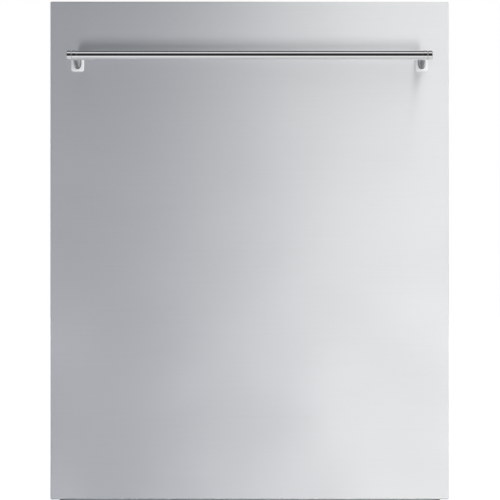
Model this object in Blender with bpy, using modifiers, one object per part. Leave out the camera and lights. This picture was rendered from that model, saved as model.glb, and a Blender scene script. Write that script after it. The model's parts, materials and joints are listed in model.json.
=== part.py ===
"""A built-in dishwasher: steel front panel with a bar handle, door, tub, racks, spray arms and base.

Metres, +Z up. The front of the appliance faces -Y, and the origin is on the floor, in the middle
of the bounding box. Every object is one physical piece, at rest with the door closed.
"""

import math

import bmesh
import bpy
from mathutils import Vector

# Driving dimensions
TOTAL_HEIGHT = 0.860
TOTAL_DEPTH = 0.624
PANEL_WIDTH = 0.596
PANEL_HEIGHT = 0.745
PANEL_DEPTH = 0.020
PANEL_TOP = 0.857
GRIP_RADIUS = 0.0068
COLLAR_RADIUS = 0.0072
HANDLE_STANDOFF = 0.0468
HANDLE_BELOW_TOP = 0.0861
FOOT_TRAVEL = 0.040
GAP = 0.0003

# Planes and levels that follow from them
FRONT_Y = -TOTAL_DEPTH / 2 + COLLAR_RADIUS + HANDLE_STANDOFF
PANEL_BACK_Y = FRONT_Y + PANEL_DEPTH
PANEL_BOTTOM = PANEL_TOP - PANEL_HEIGHT
REAR_Y = TOTAL_DEPTH / 2
GRIP_Y = FRONT_Y - HANDLE_STANDOFF
GRIP_Z = PANEL_TOP - HANDLE_BELOW_TOP
POST_X = 0.2570

# Door hinge axis, which runs along X
HINGE_Y = FRONT_Y + 0.033
HINGE_Z = 0.151
HINGE_PIN_RADIUS = 0.004

# Door structure behind the front panel
SHELL_HALF_WIDTH = 0.280
DOOR_BOTTOM = 0.114
SHELL_FRONT_Y = PANEL_BACK_Y + GAP
LINER_FRONT_Y = FRONT_Y + 0.0780
LINER_BACK_Y = LINER_FRONT_Y + 0.0012
LINER_RECESS = 0.008
LINER_HALF_WIDTH = 0.2835
DOOR_TOP = 0.856
STRIKE_Z = 0.8450
SPRING_HOOK_Y, SPRING_HOOK_Z = FRONT_Y + 0.068, 0.174
FASCIA_BOTTOM = 0.8165

# Tub, open to the front
TUB_HALF_WIDTH = 0.272
TUB_FRONT_Y = FRONT_Y + 0.088
TUB_BACK_Y = 0.290
TUB_FLOOR = 0.2050
TUB_CEILING = 0.834
TUB_WALL = 0.0010
TUB_CORNER = 0.011
TUB_FLANGE = 0.012
TUB_TOP_FLANGE = 0.016

# Cabinet
CASE_HALF_WIDTH = 0.2957
CASE_SHEET = 0.0012
CASE_FRONT_Y = TUB_FRONT_Y + 0.006
CASE_BACK_Y = REAR_Y - 0.0043
BASE_HALF_WIDTH = 0.2915
BASE_FRONT_Y = FRONT_Y + 0.108
BASE_BOTTOM = 0.050
BASE_TOP = 0.190

# Sump, filter and spray arms
SUMP_X, SUMP_Y = 0.0, -0.030
SUMP_RADIUS = 0.068
ARM_X, ARM_Y = 0.0, 0.065
LOWER_ARM_Z = 0.228
UPPER_ARM_Z = 0.468
LOWER_ARM_REACH = 0.200
UPPER_ARM_REACH = 0.190

# Racks
RACK_WIRE = 0.0044
UPPER_RACK_LOW = (-0.2500, -0.150, 0.505)
UPPER_RACK_HIGH = (0.2500, 0.265, 0.620)
LOWER_RACK_LOW = (-0.2465, -0.145, 0.245)
LOWER_RACK_HIGH = (0.2465, 0.262, 0.355)
WHEEL_RADIUS = 0.015
WHEEL_X = 0.2560
WHEEL_Z = TUB_FLOOR + WHEEL_RADIUS + GAP
LOWER_CELLS = (6, 5, 2)
LOWER_PITCH_Y = (LOWER_RACK_HIGH[1] - LOWER_RACK_LOW[1]) / LOWER_CELLS[1]
CARRIER_FACE_X = LOWER_RACK_HIGH[0] + RACK_WIRE / 2
CARRIER_WIDTH = 0.0025
WHEEL_ROWS = (("front", LOWER_RACK_LOW[1] + LOWER_PITCH_Y), ("rear", LOWER_RACK_HIGH[1] - LOWER_PITCH_Y))
TINE_ROD_Y = 0.125
TINE_ROD_Z = LOWER_RACK_LOW[2] + RACK_WIRE / 2 + 0.0024 + GAP

for leftover in list(bpy.data.objects):
    bpy.data.objects.remove(leftover, do_unlink=True)

PARTS = bpy.data.collections.new("built_in_dishwasher")
CUTTERS = bpy.data.collections.new("cutters")
bpy.context.scene.collection.children.link(PARTS)
bpy.context.scene.collection.children.link(CUTTERS)


# Materials


def material(name, colour, metallic, roughness):
    made = bpy.data.materials.new(name)
    made.use_nodes = True
    shader = made.node_tree.nodes["Principled BSDF"]
    shader.inputs["Base Color"].default_value = (*colour, 1.0)
    shader.inputs["Metallic"].default_value = metallic
    shader.inputs["Roughness"].default_value = roughness
    return made


BRUSHED = material("brushed_steel", (0.63, 0.64, 0.65), 1.0, 0.35)
LINING = material("tub_steel", (0.60, 0.61, 0.62), 1.0, 0.28)
CHROME = material("chrome", (0.85, 0.86, 0.87), 1.0, 0.06)
GALVANISED = material("galvanised_sheet", (0.52, 0.54, 0.55), 0.9, 0.50)
GREY_PLASTIC = material("grey_plastic", (0.35, 0.36, 0.37), 0.0, 0.45)
LIGHT_PLASTIC = material("light_plastic", (0.72, 0.73, 0.73), 0.0, 0.40)
DARK_PLASTIC = material("dark_plastic", (0.04, 0.04, 0.045), 0.0, 0.40)
BLUE_PLASTIC = material("blue_plastic", (0.06, 0.18, 0.42), 0.0, 0.40)
RUBBER = material("gasket_rubber", (0.05, 0.05, 0.05), 0.0, 0.75)
RACK_NYLON = material("rack_nylon", (0.55, 0.56, 0.57), 0.0, 0.45)
MOTOR = material("motor_casing", (0.25, 0.26, 0.27), 0.3, 0.50)
SPRING_STEEL = material("spring_steel", (0.40, 0.40, 0.41), 1.0, 0.35)


# Building blocks


def add(name, mesh, finish, at=(0, 0, 0), turn=(0, 0, 0), helper=False):
    """Links a mesh or curve as an object. A helper is a cutter or an operand, and isn't a part."""
    obj = bpy.data.objects.new(name, mesh)
    obj.location = at
    obj.rotation_euler = turn
    if finish:
        mesh.materials.append(finish)
    if helper:
        obj.hide_render = True
        obj.display_type = "WIRE"
        CUTTERS.objects.link(obj)
    else:
        PARTS.objects.link(obj)
    return obj


def mesh_from(bm, name):
    mesh = bpy.data.meshes.new(name)
    bm.to_mesh(mesh)
    bm.free()
    return mesh


def middle(low, high):
    return tuple((a + b) / 2 for a, b in zip(low, high))


def cube_cage(low, high):
    """A cube from low to high, centred on its own origin."""
    bm = bmesh.new()
    bmesh.ops.create_cube(bm, size=1.0)
    bmesh.ops.scale(bm, vec=Vector(high) - Vector(low), verts=bm.verts)
    return bm


def bevel(obj, width, segments=1):
    modifier = obj.modifiers.new("rounded_edges", "BEVEL")
    modifier.width = width
    modifier.segments = segments
    modifier.limit_method = "ANGLE"
    modifier.angle_limit = math.radians(40)


def box(name, low, high, finish=None, rounded=0.0, segments=1, helper=False):
    obj = add(name, mesh_from(cube_cage(low, high), name), finish, middle(low, high), helper=helper)
    if rounded:
        bevel(obj, rounded, segments)
    return obj


def sheet_thickness(obj, thickness):
    """Gives an open cage its sheet thickness, inwards from the outer surface."""
    modifier = obj.modifiers.new("sheet", "SOLIDIFY")
    modifier.thickness = thickness
    modifier.offset = -1
    modifier.use_even_offset = True


def tray(name, low, high, open_side, thickness, finish, rounded=0.0, segments=1, helper=False):
    """A box of sheet that is open on the side which open_side points to."""
    bm = cube_cage(low, high)
    bm.normal_update()
    facing = [f for f in bm.faces if f.normal.dot(Vector(open_side)) > 0.9]
    bmesh.ops.delete(bm, geom=facing, context="FACES_ONLY")
    obj = add(name, mesh_from(bm, name), finish, middle(low, high), helper=helper)
    if rounded:
        bevel(obj, rounded, segments)
    sheet_thickness(obj, thickness)
    return obj


TURN_TO = {"X": (0, math.pi / 2, 0), "Y": (math.pi / 2, 0, 0), "Z": (0, 0, 0)}


def cylinder(name, radius, length, centre, axis, finish=None, sides=16, helper=False):
    bm = bmesh.new()
    bmesh.ops.create_cone(bm, cap_ends=True, segments=sides, radius1=radius, radius2=radius, depth=length)
    mesh = mesh_from(bm, name)
    mesh.shade_smooth()
    mesh.set_sharp_from_angle(angle=math.radians(35))
    return add(name, mesh, finish, centre, TURN_TO[axis], helper)


def turned(name, profile, centre, finish, steps=20, closed=False, helper=False):
    """A shape turned about Z from (radius, height) points that run down its outer side."""
    bm = bmesh.new()
    ring = [bm.verts.new((radius, 0, height)) for radius, height in profile]
    pairs = list(zip(ring, ring[1:]))
    if closed:
        pairs.append((ring[-1], ring[0]))
    for a, b in pairs:
        bm.edges.new((a, b))
    obj = add(name, mesh_from(bm, name), finish, centre, helper=helper)
    modifier = obj.modifiers.new("turn", "SCREW")
    modifier.steps = steps
    modifier.render_steps = steps
    modifier.use_merge_vertices = True
    modifier.merge_threshold = 0.00002
    modifier.use_smooth_shade = True
    return obj


def wire(name, points, radius, finish, sides_level=1, cyclic=False, helper=False):
    """A round bar that follows points."""
    curve = bpy.data.curves.new(name, "CURVE")
    curve.dimensions = "3D"
    curve.bevel_depth = radius
    curve.bevel_resolution = sides_level
    curve.use_fill_caps = True
    spline = curve.splines.new("POLY")
    spline.points.add(len(points) - 1)
    for target, point in zip(spline.points, points):
        target.co = (*point, 1.0)
    spline.use_cyclic_u = cyclic
    return add(name, curve, finish, helper=helper)


def bent(corners, radius, steps=4):
    """Points along a path through the corners, with a bend of the given radius at each inner one."""
    points = [Vector(corners[0])]
    for before, here, after in zip(corners, corners[1:], corners[2:]):
        here = Vector(here)
        back = (Vector(before) - here).normalized()
        onward = (Vector(after) - here).normalized()
        half = back.angle(onward) / 2
        centre = here + (back + onward).normalized() * (radius / math.sin(half))
        start = here + back * (radius / math.tan(half)) - centre
        finish = here + onward * (radius / math.tan(half)) - centre
        sweep = start.angle(finish)
        for step in range(steps + 1):
            share = step / steps
            arm = start * math.sin((1 - share) * sweep) + finish * math.sin(share * sweep)
            points.append(centre + arm / math.sin(sweep))
    points.append(Vector(corners[-1]))
    return points


def outline(name, points, thickness, centre, turn, finish, helper=False):
    """A flat plate from a closed outline of (x, y) points."""
    curve = bpy.data.curves.new(name, "CURVE")
    curve.dimensions = "2D"
    curve.fill_mode = "BOTH"
    curve.extrude = thickness / 2
    spline = curve.splines.new("POLY")
    spline.points.add(len(points) - 1)
    for target, (x, y) in zip(spline.points, points):
        target.co = (x, y, 0.0, 1.0)
    spline.use_cyclic_u = True
    return add(name, curve, finish, centre, turn, helper)


def as_mesh(obj):
    """A curve object made into a mesh object with its caps welded, so that Booleans take it."""
    bpy.context.view_layer.update()
    evaluated = obj.evaluated_get(bpy.context.evaluated_depsgraph_get())
    mesh = bpy.data.meshes.new_from_object(evaluated)
    bm = bmesh.new()
    bm.from_mesh(mesh)
    bmesh.ops.remove_doubles(bm, verts=bm.verts, dist=0.000002)
    bmesh.ops.recalc_face_normals(bm, faces=bm.faces)
    bm.to_mesh(mesh)
    bm.free()
    name, helper = obj.name, obj.hide_render
    matrix = obj.matrix_world.copy()
    bpy.data.objects.remove(obj, do_unlink=True)
    made = add(name, mesh, None, helper=helper)
    made.matrix_world = matrix
    return made


def combine(obj, operation, *others):
    for other in others:
        modifier = obj.modifiers.new(operation.lower(), "BOOLEAN")
        modifier.operation = operation
        modifier.solver = "EXACT"
        modifier.object = other
    return obj


def cut(obj, *cutters):
    return combine(obj, "DIFFERENCE", *cutters)


def join(obj, *others):
    return combine(obj, "UNION", *others)


def sides():
    """(name, sign of X) for the pieces that come in left and right pairs."""
    return (("left", -1), ("right", 1))


# Front panel and handle


def front_panel():
    """Folded steel tray, open at the back, with a clearance hole behind each handle post."""
    panel = tray(
        "front_panel",
        (-PANEL_WIDTH / 2, FRONT_Y, PANEL_BOTTOM),
        (PANEL_WIDTH / 2, PANEL_BACK_Y, PANEL_TOP),
        (0, 1, 0),
        0.0010,
        BRUSHED,
        rounded=0.0016,
        segments=3,
    )
    for side, sign in sides():
        at = (sign * POST_X, FRONT_Y, GRIP_Z - 0.004)
        cut(panel, cylinder(side + "_stud_hole", 0.0032, 0.01, at, "Y", sides=16, helper=True))


def grip_and_caps():
    """The bar of the handle, and the cap that closes each end of it."""
    cap_length = 0.0072
    bar_end = 0.2610
    cylinder("handle_bar", GRIP_RADIUS, 2 * bar_end, (0, GRIP_Y, GRIP_Z), "X", CHROME, sides=20)
    for side, sign in sides():
        x = sign * (bar_end + GAP + cap_length / 2)
        cap = cylinder(side + "_bar_cap", COLLAR_RADIUS, cap_length, (x, GRIP_Y, GRIP_Z), "X", CHROME, 20)
        bevel(cap, 0.0006)


def handle_post(side, sign):
    """Cast bracket: a rounded foot plate on the panel, a tapered stem and a collar around the bar."""
    x = sign * POST_X
    plate_top, plate_bottom = GRIP_Z + 0.009, GRIP_Z - 0.019
    plate_half, plate_thickness = 0.0094, 0.0030
    post = box(
        side + "_handle_post",
        (x - plate_half, FRONT_Y - GAP - plate_thickness, plate_bottom),
        (x + plate_half, FRONT_Y - GAP, plate_top),
        CHROME,
        rounded=0.0012,
        segments=2,
    )
    stem = stem_loft(side + "_stem", x)
    collar = cylinder(side + "_collar", COLLAR_RADIUS, 0.0072, (x, GRIP_Y, GRIP_Z), "X", sides=20, helper=True)
    stud_length = 0.016
    stud_y = FRONT_Y - GAP - plate_thickness / 2 + stud_length / 2
    stud = cylinder(side + "_stud", 0.0028, stud_length, (x, stud_y, GRIP_Z - 0.004), "Y", sides=16, helper=True)
    join(post, stem, collar, stud)
    cut(post, cylinder(side + "_bar_seat", GRIP_RADIUS + 0.00015, 0.02, (x, GRIP_Y, GRIP_Z), "X", sides=20, helper=True))


def stem_loft(name, x):
    """Loft from a tall obround at the foot plate to a narrow one at the bar."""
    # (distance in front of the panel, half width, half height, height of its middle over the bar)
    stations = (
        (0.0015, 0.0052, 0.0125, -0.0040),
        (0.0120, 0.0046, 0.0096, -0.0028),
        (0.0260, 0.0038, 0.0070, -0.0012),
        (HANDLE_STANDOFF, 0.0034, 0.0052, 0.0),
    )
    per_end = 7
    bm = bmesh.new()
    rings = []
    for reach, half_width, half_height, rise in stations:
        ring = []
        for end in (1, -1):
            for step in range(per_end):
                angle = math.pi * step / (per_end - 1)
                dx = end * half_width * math.cos(angle)
                dz = end * (half_width * math.sin(angle) + half_height - half_width)
                ring.append(bm.verts.new((x + dx, FRONT_Y - reach, GRIP_Z + rise + dz)))
        rings.append(ring)
    count = 2 * per_end
    for near, far in zip(rings, rings[1:]):
        for i in range(count):
            j = (i + 1) % count
            bm.faces.new((near[i], near[j], far[j], far[i]))
    bm.faces.new(rings[0])
    bm.faces.new(rings[-1])
    bmesh.ops.recalc_face_normals(bm, faces=bm.faces)
    return add(name, mesh_from(bm, name), None, helper=True)


# Door


def door_shell():
    """Outer door of galvanised sheet behind the front panel, with holes for the post studs."""
    tray(
        "door_shell",
        (-SHELL_HALF_WIDTH, SHELL_FRONT_Y, DOOR_BOTTOM),
        (SHELL_HALF_WIDTH, LINER_FRONT_Y - GAP, FASCIA_BOTTOM - GAP),
        (0, 1, 0),
        0.0010,
        GALVANISED,
        rounded=0.002,
    )


def door_liner():
    """Inner door: a flat sealing margin around a pressed field, and a slot for the latch."""
    low = (-LINER_HALF_WIDTH, LINER_FRONT_Y, DOOR_BOTTOM + 0.002)
    high = (LINER_HALF_WIDTH, LINER_BACK_Y, DOOR_TOP - 0.001)
    bm = bmesh.new()
    bmesh.ops.create_grid(bm, x_segments=1, y_segments=1, size=0.5)
    bmesh.ops.scale(bm, vec=(high[0] - low[0], high[2] - low[2], 1), verts=bm.verts)
    field = bm.faces[:][0]
    bmesh.ops.inset_individual(bm, faces=[field], thickness=0.034, use_even_offset=True)
    upper = [v for v in field.verts if v.co.y > 0]
    bmesh.ops.translate(bm, vec=(0, FASCIA_BOTTOM - 0.004 - (high[2] - 0.034), 0), verts=upper)
    bmesh.ops.inset_individual(bm, faces=[field], thickness=0.010, depth=-LINER_RECESS, use_even_offset=True)
    liner = add("door_liner", mesh_from(bm, "door_liner"), LINING, middle(low, high), (math.pi / 2, 0, math.pi))
    liner.location.y = LINER_BACK_Y
    sheet_thickness(liner, LINER_BACK_Y - LINER_FRONT_Y)
    low, high = dispenser_box()
    opening = box(
        "dispenser_opening",
        (low[0] - GAP, LINER_FRONT_Y - 0.02, low[2] - GAP),
        (high[0] + GAP, LINER_BACK_Y + 0.01, high[2] + GAP),
        helper=True,
    )
    cut(liner, opening, latch_slot("liner_latch_slot"))


def control_panel():
    """Top fascia of the door: a channel that is open below, with a window for each button."""
    fascia = tray(
        "control_panel",
        (-0.2900, SHELL_FRONT_Y, FASCIA_BOTTOM),
        (0.2900, LINER_FRONT_Y - GAP, DOOR_TOP),
        (0, 0, -1),
        0.0022,
        DARK_PLASTIC,
        rounded=0.0015,
        segments=2,
    )
    cut(fascia, latch_slot("fascia_latch_slot"))
    for name, x, half_length in BUTTONS:
        low, high = button_box(x, half_length + 0.0004, BUTTON_HALF_DEPTH + 0.0004)
        cut(fascia, box(name + "_window", low, high, helper=True))


BUTTONS = (("power_button", -0.215, 0.0110), ("program_button", -0.120, 0.0080), ("start_button", 0.205, 0.0110))
BUTTON_HALF_DEPTH = 0.0060
BUTTON_Y = (SHELL_FRONT_Y + LINER_FRONT_Y) / 2


def button_box(x, half_length, half_depth):
    low = (x - half_length, BUTTON_Y - half_depth, DOOR_TOP - 0.0060)
    high = (x + half_length, BUTTON_Y + half_depth, DOOR_TOP + 0.0016)
    return low, high


def buttons():
    for name, x, half_length in BUTTONS:
        low, high = button_box(x, half_length, BUTTON_HALF_DEPTH)
        box(name, low, high, GREY_PLASTIC, rounded=0.0008, segments=2)


def latch_slot(name):
    """Cutter for the slot in the back of the door that the strike enters."""
    low = (-0.024, LINER_FRONT_Y - 0.008, STRIKE_Z - 0.008)
    high = (0.024, LINER_BACK_Y + 0.004, STRIKE_Z + 0.0065)
    return box(name, low, high, helper=True)


def door_latch():
    """Spring catch in the fascia, whose ramp presses up at the strike."""
    top = STRIKE_Z - 0.0015
    body_low, body_high = (-0.018, LINER_FRONT_Y - 0.032, top - 0.0095), (0.018, LINER_FRONT_Y - 0.006, top - 0.0045)
    latch = box("door_latch", body_low, body_high, GREY_PLASTIC, 0.0008)
    ramp = cylinder("latch_ramp", 0.0050, 0.020, (0, LINER_FRONT_Y - 0.011, top - 0.0050), "X", sides=20, helper=True)
    join(latch, ramp)


def hinge_arm(side, sign):
    """Steel lever on the flank of the door, with a hole for the spring's hook and the hinge pin riveted in its eye.

    The pin passes through the cheek of the base and ends in a head on the outside.
    """
    x_near, x_far = sign * (SHELL_HALF_WIDTH + GAP), sign * (SHELL_HALF_WIDTH + 0.0028)
    low_x, high_x = min(x_near, x_far), max(x_near, x_far)
    centre_x, width = (low_x + high_x) / 2, high_x - low_x
    blade_low = (low_x, SHELL_FRONT_Y + 0.006, HINGE_Z)
    blade_high = (high_x, LINER_FRONT_Y - 0.004, 0.420)
    arm = box(side + "_hinge_arm", blade_low, blade_high, GALVANISED)
    eye = cylinder(side + "_eye", 0.0122, width, (centre_x, HINGE_Y, HINGE_Z), "X", sides=20, helper=True)
    head_low, head_high = BASE_HALF_WIDTH + GAP, BASE_HALF_WIDTH + GAP + 0.0016
    pin_length = head_high - 0.0004 - (SHELL_HALF_WIDTH + 0.0010)
    pin_at = (sign * (head_high - 0.0004 - pin_length / 2), HINGE_Y, HINGE_Z)
    pin = cylinder(side + "_hinge_pin", HINGE_PIN_RADIUS, pin_length, pin_at, "X", sides=20, helper=True)
    head_at = (sign * (head_low + head_high) / 2, HINGE_Y, HINGE_Z)
    head = cylinder(side + "_pin_head", 0.0070, head_high - head_low, head_at, "X", sides=20, helper=True)
    join(arm, eye, pin, head)
    hook_at = (centre_x, SPRING_HOOK_Y, SPRING_HOOK_Z)
    cut(arm, cylinder(side + "_hook_hole", 0.0020, 0.02, hook_at, "X", sides=12, helper=True))


def dispenser_box():
    return (-0.100, LINER_FRONT_Y - 0.036, 0.480), (0.100, LINER_BACK_Y + 0.0012, 0.602)


CUP_LOW = (-0.090, LINER_FRONT_Y - 0.030, 0.512)
CUP_HIGH = (-0.032, LINER_BACK_Y + 0.006, 0.570)
RINSE_X, RINSE_Z = 0.070, 0.541


def detergent_dispenser():
    low, high = dispenser_box()
    body = box("detergent_dispenser", low, high, LIGHT_PLASTIC, rounded=0.0015, segments=1)
    cup = box("detergent_cup", CUP_LOW, CUP_HIGH, rounded=0.006, segments=2, helper=True)
    socket_at = (RINSE_X, LINER_BACK_Y - 0.004, RINSE_Z)
    socket = cylinder("rinse_socket", 0.0165, 0.014, socket_at, "Y", sides=20, helper=True)
    cut(body, cup, socket)


def dispenser_lid():
    """Lid that covers the detergent cup and slides sideways."""
    front = dispenser_box()[1][1] + GAP
    low = (CUP_LOW[0] - 0.004, front, CUP_LOW[2] - 0.004)
    high = (CUP_HIGH[0] + 0.004, front + 0.0032, CUP_HIGH[2] + 0.004)
    lid = box("dispenser_lid", low, high, GREY_PLASTIC, rounded=0.0010, segments=2)
    grip_x = CUP_LOW[0] + 0.004
    grip = box("lid_grip", (grip_x, front + 0.002, 0.530), (grip_x + 0.006, front + 0.0052, 0.552), helper=True)
    join(lid, grip)


def rinse_aid_cap():
    """Quarter-turn cap in the dispenser, with a raised grip bar."""
    depth = 0.012
    back = LINER_BACK_Y - 0.0085
    cap = cylinder("rinse_aid_cap", 0.0155, depth, (RINSE_X, back + depth / 2, RINSE_Z), "Y", BLUE_PLASTIC, 20)
    front = back + depth
    grip_low = (RINSE_X - 0.011, front - 0.002, RINSE_Z - 0.002)
    grip_high = (RINSE_X + 0.011, front + 0.0025, RINSE_Z + 0.002)
    join(cap, box("cap_grip", grip_low, grip_high, helper=True))


# Tub and seals


def tub():
    """Deep-drawn tub: rounded walls and a front flange, around a wide opening for the floor plate."""
    low = (-TUB_HALF_WIDTH, TUB_FRONT_Y, TUB_FLOOR)
    high = (TUB_HALF_WIDTH, TUB_BACK_Y, TUB_CEILING)
    bm = cube_cage(low, high)
    bm.normal_update()
    front = [f for f in bm.faces if f.normal.y < -0.9]
    bmesh.ops.delete(bm, geom=front, context="FACES_ONLY")
    bmesh.ops.bevel(
        bm,
        geom=[e for e in bm.edges if not e.is_boundary],
        offset=TUB_CORNER,
        segments=2,
        profile=0.5,
        affect="EDGES",
    )
    lip = [e for e in bm.edges if e.is_boundary]
    flange = bmesh.ops.extrude_edge_only(bm, edges=lip)["geom"]
    spread_x = (TUB_HALF_WIDTH + TUB_FLANGE) / TUB_HALF_WIDTH
    half_height = (TUB_CEILING - TUB_FLOOR) / 2
    spread_z = (half_height + TUB_FLANGE) / half_height
    outer = [v for v in flange if isinstance(v, bmesh.types.BMVert)]
    bmesh.ops.scale(bm, vec=(spread_x, 1, spread_z), verts=outer)
    upper = [v for v in outer if v.co.z > 0]
    bmesh.ops.translate(bm, vec=(0, 0, TUB_TOP_FLANGE - TUB_FLANGE), verts=upper)
    bmesh.ops.recalc_face_normals(bm, faces=bm.faces)
    tub_object = add("tub", mesh_from(bm, "tub"), LINING, middle(low, high))
    thickness = tub_object.modifiers.new("sheet", "SOLIDIFY")
    thickness.thickness = TUB_WALL
    thickness.offset = -1
    thickness.use_even_offset = True
    low, high = floor_plate_span(0.0)
    cut(tub_object, box("floor_opening", (*low, TUB_FLOOR - 0.01), (*high, TUB_FLOOR + 0.0015), helper=True))
    cut(tub_object, floor_hole("pipe_hole_in_wall", *FLOOR_HOLES["pipe_hole"]))


def floor_plate_span(gap):
    """Lowest and highest (x, y) of the flat floor between the tub's rounded edges, drawn in by a gap."""
    half_x = TUB_HALF_WIDTH - TUB_CORNER + 0.0002 - gap
    return (-half_x, TUB_FRONT_Y + 0.005 + gap), (half_x, TUB_BACK_Y - TUB_CORNER + 0.0002 - gap)


def floor_hole(name, radius, x, y):
    return cylinder(name, radius, 0.02, (x, y, TUB_FLOOR), "Z", sides=20, helper=True)


def tub_floor():
    """Flat floor of the tub, with openings for the sump, the spray arm, the salt neck and the riser."""
    low, high = floor_plate_span(GAP)
    floor = box("tub_floor", (*low, TUB_FLOOR - TUB_WALL), (*high, TUB_FLOOR), LINING)
    cut(floor, *(floor_hole(name, *hole) for name, hole in FLOOR_HOLES.items()))


SALT_X, SALT_Y = -0.165, -0.075
PIPE_Y = 0.2745
FLOOR_HOLES = {
    "sump_hole": (SUMP_RADIUS, SUMP_X, SUMP_Y),
    "arm_hub_hole": (0.0105, ARM_X, ARM_Y),
    "salt_hole": (0.0245, SALT_X, SALT_Y),
    "pipe_hole": (0.0115, 0.0, PIPE_Y),
}


def door_gasket():
    """Rubber cord around the sides and top of the tub's mouth, which the inner door presses on."""
    radius = (TUB_FRONT_Y - LINER_BACK_Y) / 2 - 0.0004
    x, y = TUB_HALF_WIDTH + 0.006, (TUB_FRONT_Y + LINER_BACK_Y) / 2
    top, bottom = TUB_CEILING + 0.0045, TUB_FLOOR - 0.006
    corners = [(-x, y, bottom), (-x, y, top), (x, y, top), (x, y, bottom)]
    wire("door_gasket", bent(corners, 0.016), radius, RUBBER, sides_level=2)


def latch_strike():
    """Steel tongue on the tub's top flange that the door latch catches."""
    back = TUB_FRONT_Y - GAP
    strike = box("latch_strike", (-0.014, LINER_FRONT_Y - 0.0145, STRIKE_Z), (0.014, back, STRIKE_Z + 0.002), GALVANISED)
    base = box("strike_base", (-0.020, back - 0.0015, STRIKE_Z - 0.0010), (0.020, back, STRIKE_Z + 0.0045), helper=True)
    join(strike, base)


# Cabinet


def side_panel(side, sign):
    """Outer side sheet with a folded front edge."""
    x = sign * CASE_HALF_WIDTH
    inner = x - sign * CASE_SHEET
    low = (min(x, inner), CASE_FRONT_Y, BASE_BOTTOM + 0.005)
    high = (max(x, inner), CASE_BACK_Y - CASE_SHEET - GAP, TOTAL_HEIGHT - 0.0060)
    panel = box(side + "_side_panel", low, high, GALVANISED)
    fold_x = sign * (CASE_HALF_WIDTH - 0.0090)
    fold_low = (min(x, fold_x), CASE_FRONT_Y, TUB_FLOOR + 0.02)
    fold_high = (max(x, fold_x), CASE_FRONT_Y + CASE_SHEET, TOTAL_HEIGHT - 0.0060)
    join(panel, box(side + "_front_fold", fold_low, fold_high, helper=True))


def top_panel():
    """Top sheet with two raised tabs that screw to the underside of a worktop."""
    bottom, sheet_top = TOTAL_HEIGHT - 0.0055, TOTAL_HEIGHT - 0.0040
    top = box(
        "top_panel",
        (-CASE_HALF_WIDTH, CASE_FRONT_Y, bottom),
        (CASE_HALF_WIDTH, CASE_BACK_Y, sheet_top),
        GALVANISED,
    )
    for side, sign in sides():
        x = sign * 0.180
        low, high = (x - 0.030, CASE_FRONT_Y, bottom + 0.0005), (x + 0.030, CASE_FRONT_Y + 0.045, TOTAL_HEIGHT)
        tab = box(side + "_tab", low, high, rounded=0.0008, helper=True)
        hole_at = (x + 0.018, CASE_FRONT_Y + 0.015, TOTAL_HEIGHT)
        join(top, tab)
        cut(top, cylinder(side + "_tab_hole", 0.0025, 0.03, hole_at, "Z", sides=16, helper=True))


def rear_cover():
    """Back sheet with cut-outs for the water, drain and mains connections."""
    cover = box(
        "rear_cover",
        (-CASE_HALF_WIDTH, CASE_BACK_Y - CASE_SHEET, BASE_BOTTOM + 0.005),
        (CASE_HALF_WIDTH, CASE_BACK_Y, TOTAL_HEIGHT - 0.0060),
        GALVANISED,
    )
    for name, (x, z), radius in CONNECTIONS:
        cut(cover, cylinder(name + "_cut_out", radius + 0.0045, 0.02, (x, CASE_BACK_Y, z), "Y", sides=16, helper=True))


# (name, (x, z), outer radius at the rear cover)
CONNECTIONS = (("inlet_valve", (0.205, 0.125), 0.0130), ("drain_spigot", (0.150, 0.125), 0.0100), ("cable_gland", (-0.205, 0.125), 0.0090))


def rear_connections():
    """Water inlet valve, drain spigot and mains gland, each reaching out through the rear cover."""
    inner_y = CASE_BACK_Y - 0.040
    for name, (x, z), radius in CONNECTIONS:
        length = REAR_Y - inner_y
        finish = {"inlet_valve": LIGHT_PLASTIC, "drain_spigot": GREY_PLASTIC, "cable_gland": DARK_PLASTIC}[name]
        stub = cylinder(name, radius, length, (x, (REAR_Y + inner_y) / 2, z), "Y", finish, 24)
        block_low = (x - radius - 0.008, inner_y - 0.012, z - radius - 0.006)
        block_high = (x + radius + 0.008, inner_y + 0.010, z + radius + 0.006)
        join(stub, box(name + "_body", block_low, block_high, rounded=0.002, helper=True))
        bore = cylinder(name + "_bore", radius * 0.55, 0.060, (x, REAR_Y, z), "Y", sides=20, helper=True)
        cut(stub, bore)


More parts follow.
